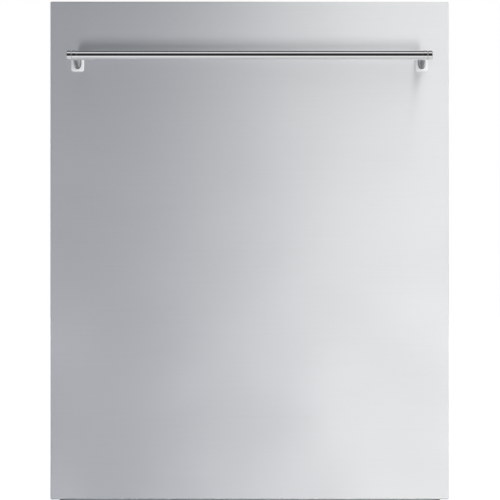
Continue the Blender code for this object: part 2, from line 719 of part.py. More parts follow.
def base_tray():
    """Drip tray that carries the tub and pumps, with a cheek for each hinge and holes for the feet."""
    thickness = 0.0025
    base = tray(
        "base_tray",
        (-BASE_HALF_WIDTH, BASE_FRONT_Y, BASE_BOTTOM),
        (BASE_HALF_WIDTH, CASE_BACK_Y - CASE_SHEET - 0.002, BASE_TOP),
        (0, 0, 1),
        thickness,
        GREY_PLASTIC,
    )
    for side, sign in sides():
        outer, inner = sign * BASE_HALF_WIDTH, sign * (BASE_HALF_WIDTH - thickness)
        low_x, high_x = min(outer, inner), max(outer, inner)
        notch_x = sign * 0.2795
        notch_low = (min(notch_x, inner), BASE_FRONT_Y - 0.01, 0.160)
        notch_high = (max(notch_x, inner), BASE_FRONT_Y + 0.01, BASE_TOP + 0.01)
        cut(base, box(side + "_spring_notch", notch_low, notch_high, helper=True))
        cheek_low = (low_x, HINGE_Y, HINGE_Z - 0.0122)
        cheek_high = (high_x, BASE_FRONT_Y + 0.020, BASE_TOP - 0.004)
        cheek = box(side + "_cheek", cheek_low, cheek_high, helper=True)
        at = ((outer + inner) / 2, HINGE_Y, HINGE_Z)
        nose = cylinder(side + "_cheek_nose", 0.0122, thickness, at, "X", sides=20, helper=True)
        join(base, cheek, nose)
        cut(base, cylinder(side + "_pin_hole", HINGE_PIN_RADIUS + 0.0003, 0.02, at, "X", sides=20, helper=True))
    for name, (x, z), radius in CONNECTIONS:
        cut(base, cylinder(name + "_base_hole", radius + 0.0015, 0.02, (x, 0.303, z), "Y", sides=16, helper=True))
    for name, x, y in FEET:
        hole_at = (x, y, BASE_BOTTOM)
        cut(base, cylinder(name + "_hole", FOOT_STEM + 0.0004, 0.02, hole_at, "Z", sides=20, helper=True))


FOOT_STEM = 0.0060
FEET = tuple(
    (f"{end}_{side}_foot", sign * 0.255, y)
    for end, y in (("front", BASE_FRONT_Y + 0.032), ("rear", 0.262))
    for side, sign in (("left", -1), ("right", 1))
)


def feet():
    """Levelling feet: a pad and hexagon nut on a stem that screws up into the base."""
    for name, x, y in FEET:
        profile = [
            (0.0, 0.098),
            (FOOT_STEM, 0.098),
            (FOOT_STEM, 0.0085),
            (0.012, 0.0075),
            (0.019, 0.0040),
            (0.019, 0.0),
            (0.0, 0.0),
        ]
        turned(name, profile, (x, y, 0), GREY_PLASTIC, steps=16)


def door_spring(side, sign):
    """Tension spring from the hinge arm to the side of the base, which balances the door."""
    x = sign * SPRING_X
    front, back = Vector((x, SPRING_HOOK_Y, SPRING_HOOK_Z)), Vector((x, 0.150, 0.120))
    coil_radius, wire_radius, turns, per_turn = 0.0026, 0.0008, 12, 5
    along = back - front
    coil_start, coil_end = 0.22, 0.93
    points = [front]
    for step in range(turns * per_turn + 1):
        share = coil_start + (coil_end - coil_start) * step / (turns * per_turn)
        angle = 2 * math.pi * step / per_turn
        sideways = Vector((math.cos(angle) * coil_radius, 0, math.sin(angle) * coil_radius))
        points.append(front + along * share + sideways)
    points.append(back)
    wire(side + "_door_spring", points, wire_radius, SPRING_STEEL, sides_level=0)


SPRING_X = 0.2850


# Water system


def sump():
    """Bowl under the tub floor that holds the filter, with a port for the circulation pump and the drain pump."""
    top = TUB_FLOOR - TUB_WALL - GAP
    wall = 0.003
    profile = [
        (SUMP_RADIUS - wall, top),
        (SUMP_RADIUS + 0.014, top),
        (SUMP_RADIUS + 0.014, top - wall),
        (SUMP_RADIUS, top - wall),
        (SUMP_RADIUS - 0.014, 0.108),
        (0.0, 0.108),
        (0.0, 0.108 + wall),
        (SUMP_RADIUS - 0.014 - wall, 0.108 + wall),
    ]
    bowl = turned("sump", profile, (SUMP_X, SUMP_Y, 0), DARK_PLASTIC, steps=20, closed=True)
    port = cylinder("pump_port", 0.014, 0.034, (SUMP_X + 0.0695, SUMP_Y, 0.135), "X", sides=20, helper=True)
    drain = cylinder("drain_port", 0.010, 0.034, (SUMP_X, SUMP_Y + 0.0690, 0.130), "Y", sides=20, helper=True)
    start = SUMP_Y + 0.0690 + 0.016
    pump = cylinder("drain_pump", 0.024, 0.036, (SUMP_X, start + 0.018, 0.130), "Y", sides=20, helper=True)
    coil = box("drain_coil", (-0.022, start + 0.030, 0.108), (0.022, start + 0.066, 0.152), rounded=0.003, helper=True)
    join(bowl, port, drain, pump, coil)


def filter_plate():
    """Fine mesh plate over the sump, dished towards the filter cup."""
    profile = [(0.0375, 0.2062), (0.080, 0.2090), (0.080, 0.2075), (0.0375, 0.2047)]
    turned("filter_plate", profile, (SUMP_X, SUMP_Y, 0), LINING, steps=20, closed=True)


def filter_cup():
    """Coarse filter: an open cup with a rim, standing in the sump, with a grip across it."""
    wall = 0.002
    profile = [
        (0.0345 - wall, 0.2110),
        (0.0400, 0.2110),
        (0.0400, 0.2072),
        (0.0345, 0.2060),
        (0.0290, 0.1180),
        (0.0, 0.1180),
        (0.0, 0.1180 + wall),
        (0.0290 - wall, 0.1180 + wall),
    ]
    cup = turned("filter_cup", profile, (SUMP_X, SUMP_Y, 0), GREY_PLASTIC, steps=20, closed=True)
    grip_low = (SUMP_X - 0.034, SUMP_Y - 0.0020, 0.2060)
    grip_high = (SUMP_X + 0.034, SUMP_Y + 0.0020, 0.2150)
    join(cup, box("filter_grip", grip_low, grip_high, helper=True))


PUMP_X, PUMP_OUTLET_Z = 0.1040, 0.145


def circulation_pump():
    """Motor and volute in line, with the outlet that feeds the riser."""
    y, z = SUMP_Y, 0.135
    volute = cylinder("circulation_pump", 0.040, 0.034, (PUMP_X, y, z), "X", DARK_PLASTIC, 20)
    casing = cylinder("motor_body", 0.042, 0.085, (0.161, y, z), "X", sides=20, helper=True)
    tail = cylinder("motor_tail", 0.020, 0.020, (0.210, y, z), "X", sides=20, helper=True)
    outlet = cylinder("pump_outlet", 0.0115, 0.060, (PUMP_X, y + 0.050, PUMP_OUTLET_Z), "Y", sides=20, helper=True)
    join(volute, casing, tail, outlet)


def softener_tank():
    """Salt and resin tank beside the sump, with a neck up to the tub floor."""
    low, high = (-0.245, -0.138, 0.060), (-0.112, -0.030, 0.168)
    tank = box("softener_tank", low, high, LIGHT_PLASTIC, rounded=0.006, segments=2)
    neck_top = TUB_FLOOR + 0.0020
    neck_at = (SALT_X, SALT_Y, (0.160 + neck_top) / 2)
    neck = cylinder("salt_neck", 0.0235, neck_top - 0.160, neck_at, "Z", sides=20, helper=True)
    well_at = (SALT_X, SALT_Y, 0.160)
    join(tank, neck)
    cut(tank, cylinder("salt_well", 0.0200, 0.160, well_at, "Z", sides=20, helper=True))


def salt_cap():
    """Screw cap over the neck of the softener tank, with a grip bar."""
    bottom = TUB_FLOOR + 0.0020 + GAP
    cap = cylinder("salt_cap", 0.0285, 0.0060, (SALT_X, SALT_Y, bottom + 0.0030), "Z", BLUE_PLASTIC, 20)
    grip_low = (SALT_X - 0.020, SALT_Y - 0.003, bottom + 0.004)
    grip_high = (SALT_X + 0.020, SALT_Y + 0.003, bottom + 0.0105)
    join(cap, box("salt_grip", grip_low, grip_high, rounded=0.001, helper=True))


def feed_pipe():
    """Pipe from the pump, under the tub, then up its back wall and forward to the rack's feed tube."""
    start = SUMP_Y + 0.080 + GAP
    corners = [
        (PUMP_X, start, PUMP_OUTLET_Z),
        (PUMP_X, PIPE_Y, PUMP_OUTLET_Z),
        (0, PIPE_Y, PUMP_OUTLET_Z),
        (0, PIPE_Y, UPPER_TUBE_Z),
        (0, PIPE_DOCK_Y, UPPER_TUBE_Z),
    ]
    wire("feed_pipe", bent(corners, 0.020), 0.0095, GREY_PLASTIC, sides_level=3)


UPPER_TUBE_Z = 0.4900
PIPE_DOCK_Y = PIPE_Y - 0.024


def upper_feed_tube():
    """Tube under the upper rack that docks with the riser and feeds the upper spray arm."""
    back = PIPE_DOCK_Y - GAP
    length = back - ARM_Y
    tube = cylinder("upper_feed_tube", 0.0085, length, (0, (back + ARM_Y) / 2, UPPER_TUBE_Z), "Y", GREY_PLASTIC, 20)
    hub = cylinder("upper_feed_hub", 0.0130, 0.0220, (ARM_X, ARM_Y, UPPER_TUBE_Z - 0.003), "Z", sides=20, helper=True)
    join(tube, hub)


def spray_arm(name, reach, height, hub_top, hub_bottom):
    """Two-bladed arm with a hub. The blades taper and lean opposite ways, as the jets need."""
    hub_half, tip_half, thickness = 0.024, 0.012, 0.010
    steps = 12
    edge = []
    for step in range(steps + 1):
        along = -1 + 2 * step / steps
        swell = (hub_half - tip_half) * math.exp(-((along * 3.2) ** 2))
        lean = 0.010 * math.sin(math.pi * along)
        edge.append((along * reach * 0.97, tip_half + swell, lean))
    points = [(x, lean + half) for x, half, lean in edge]
    points += [(reach, 0.006 + edge[-1][2]), (reach, edge[-1][2] - 0.006)]
    points += [(x, lean - half) for x, half, lean in reversed(edge)]
    points += [(-reach, edge[0][2] - 0.006), (-reach, edge[0][2] + 0.006)]
    arm = as_mesh(outline(name, points, thickness, (ARM_X, ARM_Y, height), (0, 0, 0), GREY_PLASTIC))
    hub_length = hub_top - hub_bottom
    hub_at = (ARM_X, ARM_Y, (hub_top + hub_bottom) / 2)
    join(arm, cylinder(name + "_hub", 0.0190, hub_length, hub_at, "Z", sides=16, helper=True))
    return arm


def spray_arms():
    """The lower arm stands on a stub through the tub floor, and the upper arm hangs from its feed hub."""
    lower = spray_arm("lower_spray_arm", LOWER_ARM_REACH, LOWER_ARM_Z, LOWER_ARM_Z + 0.0075, LOWER_ARM_Z - 0.0080)
    stub_at = (ARM_X, ARM_Y, 0.205)
    join(lower, cylinder("arm_stub", 0.0095, 0.040, stub_at, "Z", sides=20, helper=True))
    hub_top = UPPER_TUBE_Z - 0.014 - GAP
    spray_arm("upper_spray_arm", UPPER_ARM_REACH, UPPER_ARM_Z, hub_top, UPPER_ARM_Z - 0.0080)


# Racks


def wire_rack(name, low, high, cells):
    """Open-topped basket of welded wire with that many cells along X, Y and Z."""
    bm = cube_cage(low, high)
    bm.normal_update()
    bmesh.ops.delete(bm, geom=[f for f in bm.faces if f.normal.z > 0.9], context="FACES_ONLY")
    for axis, count in enumerate(cells):
        across = [e for e in bm.edges if abs((e.verts[0].co - e.verts[1].co).normalized()[axis]) > 0.9]
        bmesh.ops.subdivide_edges(bm, edges=across, cuts=count - 1, use_grid_fill=True)
    rack = add(name, mesh_from(bm, name), RACK_NYLON, middle(low, high))
    wires = rack.modifiers.new("wires", "WIREFRAME")
    wires.thickness = RACK_WIRE
    wires.offset = 0
    wires.use_boundary = True
    wires.use_replace = True
    wires.use_even_offset = True
    return rack


def rack_rail(side, sign):
    """Channel on the tub wall, open towards the rack and at its front end, in which the rack's runner slides."""
    x_wall, x_open = sign * (TUB_HALF_WIDTH - GAP), sign * 0.2600
    front, low_z, high_z, thickness = TUB_FRONT_Y + 0.012, 0.545, 0.575, 0.0012
    low = (min(x_wall, x_open), front, low_z)
    high = (max(x_wall, x_open), 0.265, high_z)
    rail = tray(side + "_rack_rail", low, high, (-sign, 0, 0), thickness, LINING)
    mouth_x = x_open - sign * 0.0020, x_wall - sign * 0.0020
    mouth_low = (min(mouth_x), front - 0.0020, low_z + 0.0025)
    mouth_high = (max(mouth_x), front + 0.0040, high_z - 0.0025)
    cut(rail, box(side + "_rail_mouth", mouth_low, mouth_high, helper=True))


def rack_runner(side, sign):
    """Bar on the upper rack's flank that runs inside the rail."""
    near, far = sign * (-UPPER_RACK_LOW[0] + RACK_WIRE / 2 + GAP), sign * 0.2690
    low = (min(near, far), UPPER_RACK_LOW[1] + 0.006, 0.5495)
    high = (max(near, far), 0.262, 0.5705)
    box(side + "_rack_runner", low, high, LINING, rounded=0.0015)


def folding_tines():
    """Comb of plate supports on a rod that lies across the lower rack's floor."""
    rod_start, rod_end, tine_height, pitch = -0.215, 0.085, 0.070, 0.030
    rod = cylinder(
        "folding_tines",
        0.0024,
        rod_end - rod_start,
        ((rod_start + rod_end) / 2, TINE_ROD_Y, TINE_ROD_Z),
        "X",
        RACK_NYLON,
        10,
    )
    count = round((rod_end - rod_start) / pitch)
    for number in range(count):
        x = rod_start + pitch * (number + 0.5)
        at = (x, TINE_ROD_Y, TINE_ROD_Z + tine_height / 2)
        join(rod, cylinder(f"tine_{number}", 0.0019, tine_height, at, "Z", sides=8, helper=True))


def cutlery_basket():
    """Open basket with a tall middle wall that ends in a hand grip."""
    low, high = (0.132, -0.128, 0.2476), (0.236, 0.088, 0.3650)
    basket = tray("cutlery_basket", low, high, (0, 0, 1), 0.0022, GREY_PLASTIC, rounded=0.004)
    x = (low[0] + high[0]) / 2
    grip_top = 0.440
    wall = box("grip_wall", (x - 0.0016, low[1] + 0.001, low[2] + 0.001), (x + 0.0016, high[1] - 0.001, grip_top), helper=True)
    hand = box("grip_hole", (x - 0.01, -0.075, grip_top - 0.040), (x + 0.01, 0.035, grip_top - 0.012), helper=True)
    shoulder_z = high[2] + 0.004
    shoulders = [
        box("front_shoulder", (x - 0.01, low[1] - 0.01, shoulder_z), (x + 0.01, -0.092, grip_top + 0.01), helper=True),
        box("rear_shoulder", (x - 0.01, 0.052, shoulder_z), (x + 0.01, high[1] + 0.01, grip_top + 0.01), helper=True),
    ]
    cut(wall, hand, *shoulders)
    join(basket, wall)


def wheel_carrier(side, sign):
    """Nylon strip clipped under the lower rack's side wire, with a rounded hanger for each wheel."""
    top = LOWER_RACK_LOW[2] - RACK_WIRE / 2 - GAP
    strip_low, overhang, hanger_radius, shoulder, arc_steps = top - 0.0060, 0.020, 0.0075, 0.013, 8
    (_, front_row), (_, rear_row) = WHEEL_ROWS
    edge = [(front_row - overhang, strip_low), (front_row - overhang, top)]
    edge += [(rear_row + overhang, top), (rear_row + overhang, strip_low)]
    for row in (rear_row, front_row):
        edge.append((row + shoulder, strip_low))
        for step in range(arc_steps + 1):
            angle = -math.pi * step / arc_steps
            edge.append((row + hanger_radius * math.cos(angle), WHEEL_Z + hanger_radius * math.sin(angle)))
        edge.append((row - shoulder, strip_low))
    centre = (sign * (CARRIER_FACE_X - CARRIER_WIDTH / 2), 0, 0)
    outline(side + "_wheel_carrier", edge, CARRIER_WIDTH, centre, (math.pi / 2, 0, math.pi / 2), RACK_NYLON)


def rack_wheels():
    """Nylon wheels, each with a stub axle that ends at its carrier."""
    width = 0.0090
    for end, y in WHEEL_ROWS:
        for side, sign in sides():
            at = (sign * WHEEL_X, y, WHEEL_Z)
            wheel = cylinder(f"{end}_{side}_wheel", WHEEL_RADIUS, width, at, "X", RACK_NYLON, 24)
            inner, outer = CARRIER_FACE_X + GAP, WHEEL_X
            axle_at = (sign * (inner + outer) / 2, y, WHEEL_Z)
            join(wheel, cylinder(f"{end}_{side}_axle", 0.0035, outer - inner, axle_at, "X", sides=12, helper=True))


# What moves together


def pivot(name, at, *members, inside=None):
    """An empty on a joint's axis, with the pieces that move on that joint parented to it."""
    empty = bpy.data.objects.new(name, None)
    empty.empty_display_size = 0.03
    empty.location = at
    PARTS.objects.link(empty)
    bpy.context.view_layer.update()
    if inside:
        empty.parent = inside
        empty.matrix_parent_inverse = inside.matrix_world.inverted()
    bpy.context.view_layer.update()
    for member in members:
        piece = bpy.data.objects[member]
        piece.parent = empty
        piece.matrix_parent_inverse = empty.matrix_world.inverted()
    return empty


def group_moving_pieces():
    door_pieces = "front_panel door_shell door_liner control_panel handle_bar detergent_dispenser".split()
    door_pieces += [f"{side}_{piece}" for side, _ in sides() for piece in ("handle_post", "bar_cap", "hinge_arm")]
    door_pieces += [name for name, _, _ in BUTTONS] + ["door_latch", "dispenser_lid", "rinse_aid_cap"]
    pivot("door_hinge_pivot", (0, HINGE_Y, HINGE_Z), *door_pieces)

    upper_pieces = ("upper_rack", "upper_feed_tube", "left_rack_runner", "right_rack_runner", "upper_spray_arm")
    pivot("upper_rack_slide", (0, UPPER_RACK_LOW[1], UPPER_RACK_LOW[2]), *upper_pieces)

    wheels = [f"{end}_{side}_wheel" for end, _ in WHEEL_ROWS for side, _ in sides()]
    wheels += [side + "_wheel_carrier" for side, _ in sides()]
    slide_at = (0, LOWER_RACK_LOW[1], LOWER_RACK_LOW[2])
    pivot("lower_rack_slide", slide_at, "lower_rack", "cutlery_basket", "folding_tines", *wheels)


def main():
    front_panel()
    grip_and_caps()
    door_shell()
    door_liner()
    control_panel()
    buttons()
    door_latch()
    detergent_dispenser()
    dispenser_lid()
    rinse_aid_cap()
    tub()
    tub_floor()
    door_gasket()
    latch_strike()
    top_panel()
    rear_cover()
    rear_connections()
    base_tray()
    feet()
    sump()
    filter_plate()
    filter_cup()
    circulation_pump()
    softener_tank()
    salt_cap()
    feed_pipe()
    upper_feed_tube()
    spray_arms()
    wire_rack("upper_rack", UPPER_RACK_LOW, UPPER_RACK_HIGH, (6, 5, 2))
    wire_rack("lower_rack", LOWER_RACK_LOW, LOWER_RACK_HIGH, LOWER_CELLS)
    folding_tines()
    cutlery_basket()
    rack_wheels()
    for side, sign in sides():
        handle_post(side, sign)
        hinge_arm(side, sign)
        door_spring(side, sign)
        side_panel(side, sign)
        rack_rail(side, sign)
        rack_runner(side, sign)
        wheel_carrier(side, sign)
    group_moving_pieces()


main()
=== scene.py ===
"""Looks of the built in dishwasher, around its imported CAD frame. Metres, +Z up, front towards -Y."""

import json
import math

import bmesh
import bpy
from mathutils import Matrix, Vector


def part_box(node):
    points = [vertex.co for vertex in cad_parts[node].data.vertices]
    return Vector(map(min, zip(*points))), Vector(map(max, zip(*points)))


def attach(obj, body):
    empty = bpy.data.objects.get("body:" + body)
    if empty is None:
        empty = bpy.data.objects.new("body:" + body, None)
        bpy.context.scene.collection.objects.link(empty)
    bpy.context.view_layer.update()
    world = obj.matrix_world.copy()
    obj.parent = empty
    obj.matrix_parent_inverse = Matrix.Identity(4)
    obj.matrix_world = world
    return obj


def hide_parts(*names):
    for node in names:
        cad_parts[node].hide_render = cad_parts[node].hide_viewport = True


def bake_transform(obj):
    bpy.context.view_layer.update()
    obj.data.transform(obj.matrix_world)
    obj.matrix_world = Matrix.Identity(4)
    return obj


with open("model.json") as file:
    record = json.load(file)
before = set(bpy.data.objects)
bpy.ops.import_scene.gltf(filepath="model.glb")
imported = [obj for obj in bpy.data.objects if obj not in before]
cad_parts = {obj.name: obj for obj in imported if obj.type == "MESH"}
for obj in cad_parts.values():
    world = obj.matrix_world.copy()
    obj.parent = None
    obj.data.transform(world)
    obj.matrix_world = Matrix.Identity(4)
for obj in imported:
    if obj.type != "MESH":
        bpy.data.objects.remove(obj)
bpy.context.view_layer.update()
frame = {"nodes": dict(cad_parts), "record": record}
NODES = frame["nodes"]

LOOKS = bpy.data.collections.new("looks")
bpy.context.scene.collection.children.link(LOOKS)
SIDES = (("left", -1), ("right", 1))
GAP = 0.0003


# Node materials


class Finish:
    """A material whose colour, roughness and bump come from nodes in the object's own space."""

    def __init__(self, name):
        self.material = bpy.data.materials.new(name)
        self.material.use_nodes = True
        self.tree = self.material.node_tree
        self.shader = self.tree.nodes["Principled BSDF"]
        self.coords = self.tree.nodes.new("ShaderNodeTexCoord")

    def node(self, kind, inputs=None, **settings):
        made = self.tree.nodes.new(kind)
        for key, value in settings.items():
            setattr(made, key, value)
        for key, value in (inputs or {}).items():
            if isinstance(value, bpy.types.NodeSocket):
                self.tree.links.new(value, made.inputs[key])
            else:
                made.inputs[key].default_value = value
        return made

    def link(self, output, socket):
        self.tree.links.new(output, self.shader.inputs[socket])

    def set(self, **values):
        for socket, value in values.items():
            self.shader.inputs[socket.replace("_", " ")].default_value = value
        return self

    def scaled(self, scale):
        """Object coordinates stretched by a scale for each axis."""
        inputs = {"Vector": self.coords.outputs["Object"], "Scale": scale}
        return self.node("ShaderNodeMapping", inputs).outputs[0]

    def noise(self, scale, detail=3.0, stretch=(1.0, 1.0, 1.0)):
        inputs = {"Vector": self.scaled(stretch), "Scale": scale, "Detail": detail}
        return self.node("ShaderNodeTexNoise", inputs).outputs["Fac"]

    def ranged(self, value, low, high):
        inputs = {"Value": value, "From Min": 0.3, "From Max": 0.7, "To Min": low, "To Max": high}
        return self.node("ShaderNodeMapRange", inputs).outputs[0]

    def tinted(self, value, dark, light):
        """The base colour, which varies from dark to light with the value."""
        ramp = self.node("ShaderNodeValToRGB", {"Fac": value})
        ramp.color_ramp.elements[0].position = 0.30
        ramp.color_ramp.elements[0].color = (*dark, 1)
        ramp.color_ramp.elements[1].position = 0.70
        ramp.color_ramp.elements[1].color = (*light, 1)
        self.link(ramp.outputs[0], "Base Color")

    def rough(self, value, low, high):
        self.link(self.ranged(value, low, high), "Roughness")

    def bump(self, value, strength, distance):
        made = self.node("ShaderNodeBump", {"Height": value, "Strength": strength, "Distance": distance})
        self.link(made.outputs[0], "Normal")


def shades(colour, spread):
    """The colour a little darker, and a little lighter."""
    return [tuple(channel * share for channel in colour) for share in (1 - spread, 1 + spread)]


def brushed(name, colour, roughness):
    """Steel rubbed along X: its highlights stretch across the grain."""
    finish = Finish(name).set(Metallic=1.0, Anisotropic=1.0, Anisotropic_Rotation=0.25)
    lines = finish.noise(9.0, 4.0, (1.0, 160.0, 160.0))
    patches = finish.noise(7.0, 2.0)
    finish.tinted(lines, *shades(colour, 0.012))
    finish.rough(patches, roughness * 0.96, roughness * 1.04)
    tangent = finish.node("ShaderNodeTangent", direction_type="RADIAL", axis="Z")
    finish.link(tangent.outputs[0], "Tangent")
    finish.bump(lines, 0.02, 0.00005)
    return finish.material


def polished(name, colour):
    """Chrome plate with the faintest unevenness."""
    finish = Finish(name).set(Metallic=1.0)
    finish.tinted(finish.noise(40.0), *shades(colour, 0.006))
    finish.rough(finish.noise(25.0), 0.0, 0.003)
    return finish.material


def painted_highlight_white(name, colour):
    """Near-white satin plating: the polished foot plate's bright reflection painted in as its colour, a
    painted highlight that looks white from every side.
    """
    finish = Finish(name).set(Metallic=0.10)
    finish.tinted(finish.noise(40.0), *shades(colour, 0.006))
    finish.rough(finish.noise(25.0), 0.16, 0.20)
    return finish.material


def satin_steel(name, colour, roughness):
    """Bright drawn sheet with faint level lines."""
    finish = Finish(name).set(Metallic=1.0)
    lines = finish.noise(14.0, 4.0, (1.0, 1.0, 60.0))
    finish.tinted(lines, *shades(colour, 0.03))
    finish.rough(finish.noise(20.0, 3.0, (1.0, 1.0, 30.0)), roughness * 0.85, roughness * 1.2)
    finish.bump(lines, 0.05, 0.0001)
    return finish.material


def zinc_coated(name, colour):
    """Galvanised sheet with its flat, slightly varied crystals."""
    finish = Finish(name).set(Metallic=0.70)
    crystals = finish.node("ShaderNodeTexVoronoi", {"Vector": finish.scaled((1, 1, 1)), "Scale": 90.0})
    finish.tinted(crystals.outputs["Color"], *shades(colour, 0.045))
    finish.rough(crystals.outputs["Color"], 0.50, 0.58)
    finish.bump(finish.noise(60.0), 0.05, 0.0002)
    return finish.material


def moulded(name, colour, roughness):
    """Injection-moulded plastic with a fine spark-eroded surface."""
    finish = Finish(name).set(IOR=1.49)
    finish.tinted(finish.noise(18.0, 2.0), *shades(colour, 0.03))
    grain = finish.noise(900.0, 2.0)
    finish.rough(grain, roughness * 0.88, roughness * 1.12)
    finish.bump(grain, 0.25, 0.00008)
    return finish.material


def rubber(name):
    """Black rubber, matt and slightly uneven."""
    finish = Finish(name).set(IOR=1.45)
    finish.tinted(finish.noise(30.0), (0.020, 0.020, 0.021), (0.034, 0.034, 0.035))
    finish.rough(finish.noise(300.0), 0.55, 0.75)
    finish.bump(finish.noise(700.0), 0.2, 0.0001)
    return finish.material


def nylon_coated(name, colour):
    """Wire dipped in nylon: smooth, a little glossy, with slow unevenness."""
    finish = Finish(name).set(IOR=1.53, Coat_Weight=0.25, Coat_Roughness=0.2)
    finish.tinted(finish.noise(25.0), *shades(colour, 0.04))
    finish.rough(finish.noise(120.0), 0.30, 0.42)
    finish.bump(finish.noise(260.0, 1.0), 0.12, 0.0003)
    return finish.material


def spring_wire(name):
    """Dark drawn wire."""
    finish = Finish(name).set(Metallic=1.0)
    finish.tinted(finish.noise(90.0), (0.22, 0.22, 0.23), (0.34, 0.34, 0.35))
    finish.rough(finish.noise(150.0), 0.25, 0.42)
    return finish.material


STEEL = brushed("brushed_steel", (0.70, 0.705, 0.71), 0.355)
CHROME = polished("chrome_plate", (0.93, 0.935, 0.94))
# Foot plates: near-white in place of the bright reflection polished steel shows there, a painted highlight.
HIGHLIGHT_PAINTED_PLATE = painted_highlight_white("painted_highlight_white", (0.97, 0.97, 0.97))
# Handle stems: chrome darkened to 0.20, painted shade standing in for the dark reflections the polished
# stems show.
SHADE_PAINTED_CHROME = polished("painted_shade_chrome", (0.20, 0.205, 0.21))
TUB_STEEL = satin_steel("tub_steel", (0.62, 0.63, 0.64), 0.26)
ZINC = zinc_coated("galvanised_sheet", (0.56, 0.58, 0.59))
GREY = moulded("grey_plastic", (0.33, 0.34, 0.35), 0.42)
LIGHT = moulded("light_plastic", (0.74, 0.75, 0.75), 0.38)
DARK = moulded("dark_plastic", (0.030, 0.031, 0.033), 0.36)
BLUE = moulded("blue_plastic", (0.05, 0.16, 0.40), 0.34)
NYLON = moulded("wheel_nylon", (0.50, 0.51, 0.52), 0.35)
RACK = nylon_coated("rack_nylon", (0.50, 0.51, 0.525))
RUBBER = rubber("gasket_rubber")
SPRING = spring_wire("spring_steel")
GLOSS = moulded("display_gloss", (0.012, 0.013, 0.015), 0.09)
SLOT_FINISH = {
    "front_steel": STEEL,
    "handle_steel": CHROME,
    "tub_steel": TUB_STEEL,
    "galvanised": ZINC,
    "spring_steel": SPRING,
    "grey_plastic": GREY,
    "light_plastic": LIGHT,
    "dark_plastic": DARK,
    "blue_plastic": BLUE,
    "rack_nylon": NYLON,
    "rack_wire": RACK,
    "gasket_rubber": RUBBER,
}
NODE_SLOT = {part["node"]: part["material_slot"] for part in frame["record"]["subparts"]}


def finish_cad_nodes():
    """Each carried-over CAD node takes its slot's node material."""
    for name, node in NODES.items():
        node.data.materials.clear()
        node.data.materials.append(SLOT_FINISH[NODE_SLOT[name]])


# Making pieces


def piece(name, data, body, slot, replaces=(), material=None):
    """A finished piece: linked, given its material, riding on its body and standing for CAD nodes."""
    obj = bpy.data.objects.new(name, data)
    LOOKS.objects.link(obj)
    data.materials.append(material or SLOT_FINISH[slot])
    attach(obj, body)
    if replaces:
        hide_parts(*replaces)
    return obj


def mesh_from(bm, name, sharp=35):
    """The finished mesh, with edges steeper than the sharp angle left crisp."""
    bmesh.ops.recalc_face_normals(bm, faces=bm.faces)
    mesh = bpy.data.meshes.new(name)
    bm.to_mesh(mesh)
    bm.free()
    mesh.shade_smooth()
    mesh.set_sharp_from_angle(angle=math.radians(sharp))
    return mesh


def axis_turn(axis):
    """Turns Z onto that axis."""
    return {
        "X": Matrix.Rotation(math.pi / 2, 4, "Y"),
        "Y": Matrix.Rotation(-math.pi / 2, 4, "X"),
        "Z": Matrix.Identity(4),
        "-X": Matrix.Rotation(-math.pi / 2, 4, "Y"),
    }[axis]


def add_turned(bm, profile, centre, axis="Z", steps=48):
    """Adds a body turned about an axis from (radius, distance along the axis) points."""
    place = Matrix.Translation(centre) @ axis_turn(axis)
    verts = [bm.verts.new(place @ Vector((radius, 0, along))) for radius, along in profile]
    edges = [bm.edges.new(pair) for pair in zip(verts, verts[1:])]
    pivot = place @ Vector((0, 0, 0))
    direction = place.to_3x3() @ Vector((0, 0, 1))
    bmesh.ops.spin(
        bm, geom=verts + edges, cent=pivot, axis=direction, angle=2 * math.pi, steps=steps, use_merge=True
    )
    bmesh.ops.remove_doubles(bm, verts=bm.verts, dist=0.000004)


def mirrored(profile):
    """A turned profile followed by its mirror image."""
    return profile + [(radius, -along) for radius, along in reversed(profile)]


def add_skin(bm, rings):
    """Joins closed rings of vertices into a skin and caps its two ends."""
    for near, far in zip(rings, rings[1:]):
        for number in range(len(near)):
            after = (number + 1) % len(near)
            bm.faces.new((near[number], near[after], far[after], far[number]))
    bm.faces.new(rings[0])
    bm.faces.new(rings[-1])


def add_box(bm, low, high, rounded=0.0, segments=3, place=Matrix.Identity(4)):
    """Adds a box with rounded edges."""
    low, high = Vector(low), Vector(high)
    shape = Matrix.Translation((low + high) / 2) @ Matrix.Diagonal((*(high - low), 1))
    made = bmesh.ops.create_cube(bm, size=1, matrix=place @ shape)
    if rounded:
        edges = list({edge for vert in made["verts"] for edge in vert.link_edges})
        bmesh.ops.bevel(bm, geom=edges, offset=rounded, segments=segments, profile=0.5, affect="EDGES")


def wire_curve(name, paths, radius, resolution):
    """A curve of round wires. A path is (points, closed)."""
    curve = bpy.data.curves.new(name, "CURVE")
    curve.dimensions = "3D"
    curve.bevel_depth = radius
    curve.bevel_resolution = resolution
    curve.use_fill_caps = True
    for points, closed in paths:
        spline = curve.splines.new("POLY")
        spline.points.add(len(points) - 1)
        for target, point in zip(spline.points, points):
            target.co = (*point, 1.0)
        spline.use_cyclic_u = closed
        spline.use_smooth = True
    return curve


def wires(name, paths, radius, body, slot, replaces=(), resolution=5):
    """A piece made of round wires."""
    return piece(name, wire_curve(name, paths, radius, resolution), body, slot, replaces)


def bent(corners, radius, steps=8, closed=False):
    """Points along a path through the corners, with a rounded bend at each one."""
    corners = [Vector(corner) for corner in corners]
    count = len(corners)
    inner = range(count) if closed else range(1, count - 1)
    points = [] if closed else [corners[0]]
    for index in inner:
        here = corners[index]
        back = (corners[index - 1] - here).normalized()
        onward = (corners[(index + 1) % count] - here).normalized()
        half = back.angle(onward) / 2
        centre = here + (back + onward).normalized() * (radius / math.sin(half))
        start = here + back * (radius / math.tan(half)) - centre
        finish = here + onward * (radius / math.tan(half)) - centre
        sweep = start.angle(finish)
        for step in range(steps + 1):
            share = step / steps
            arm = start * math.sin((1 - share) * sweep) + finish * math.sin(share * sweep)
            points.append(centre + arm / math.sin(sweep))
    if not closed:
        points.append(corners[-1])
    return points


def middle(node):
    """Middle of a CAD node's box."""
    low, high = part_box(node)
    return (low + high) / 2


# Front panel and handle


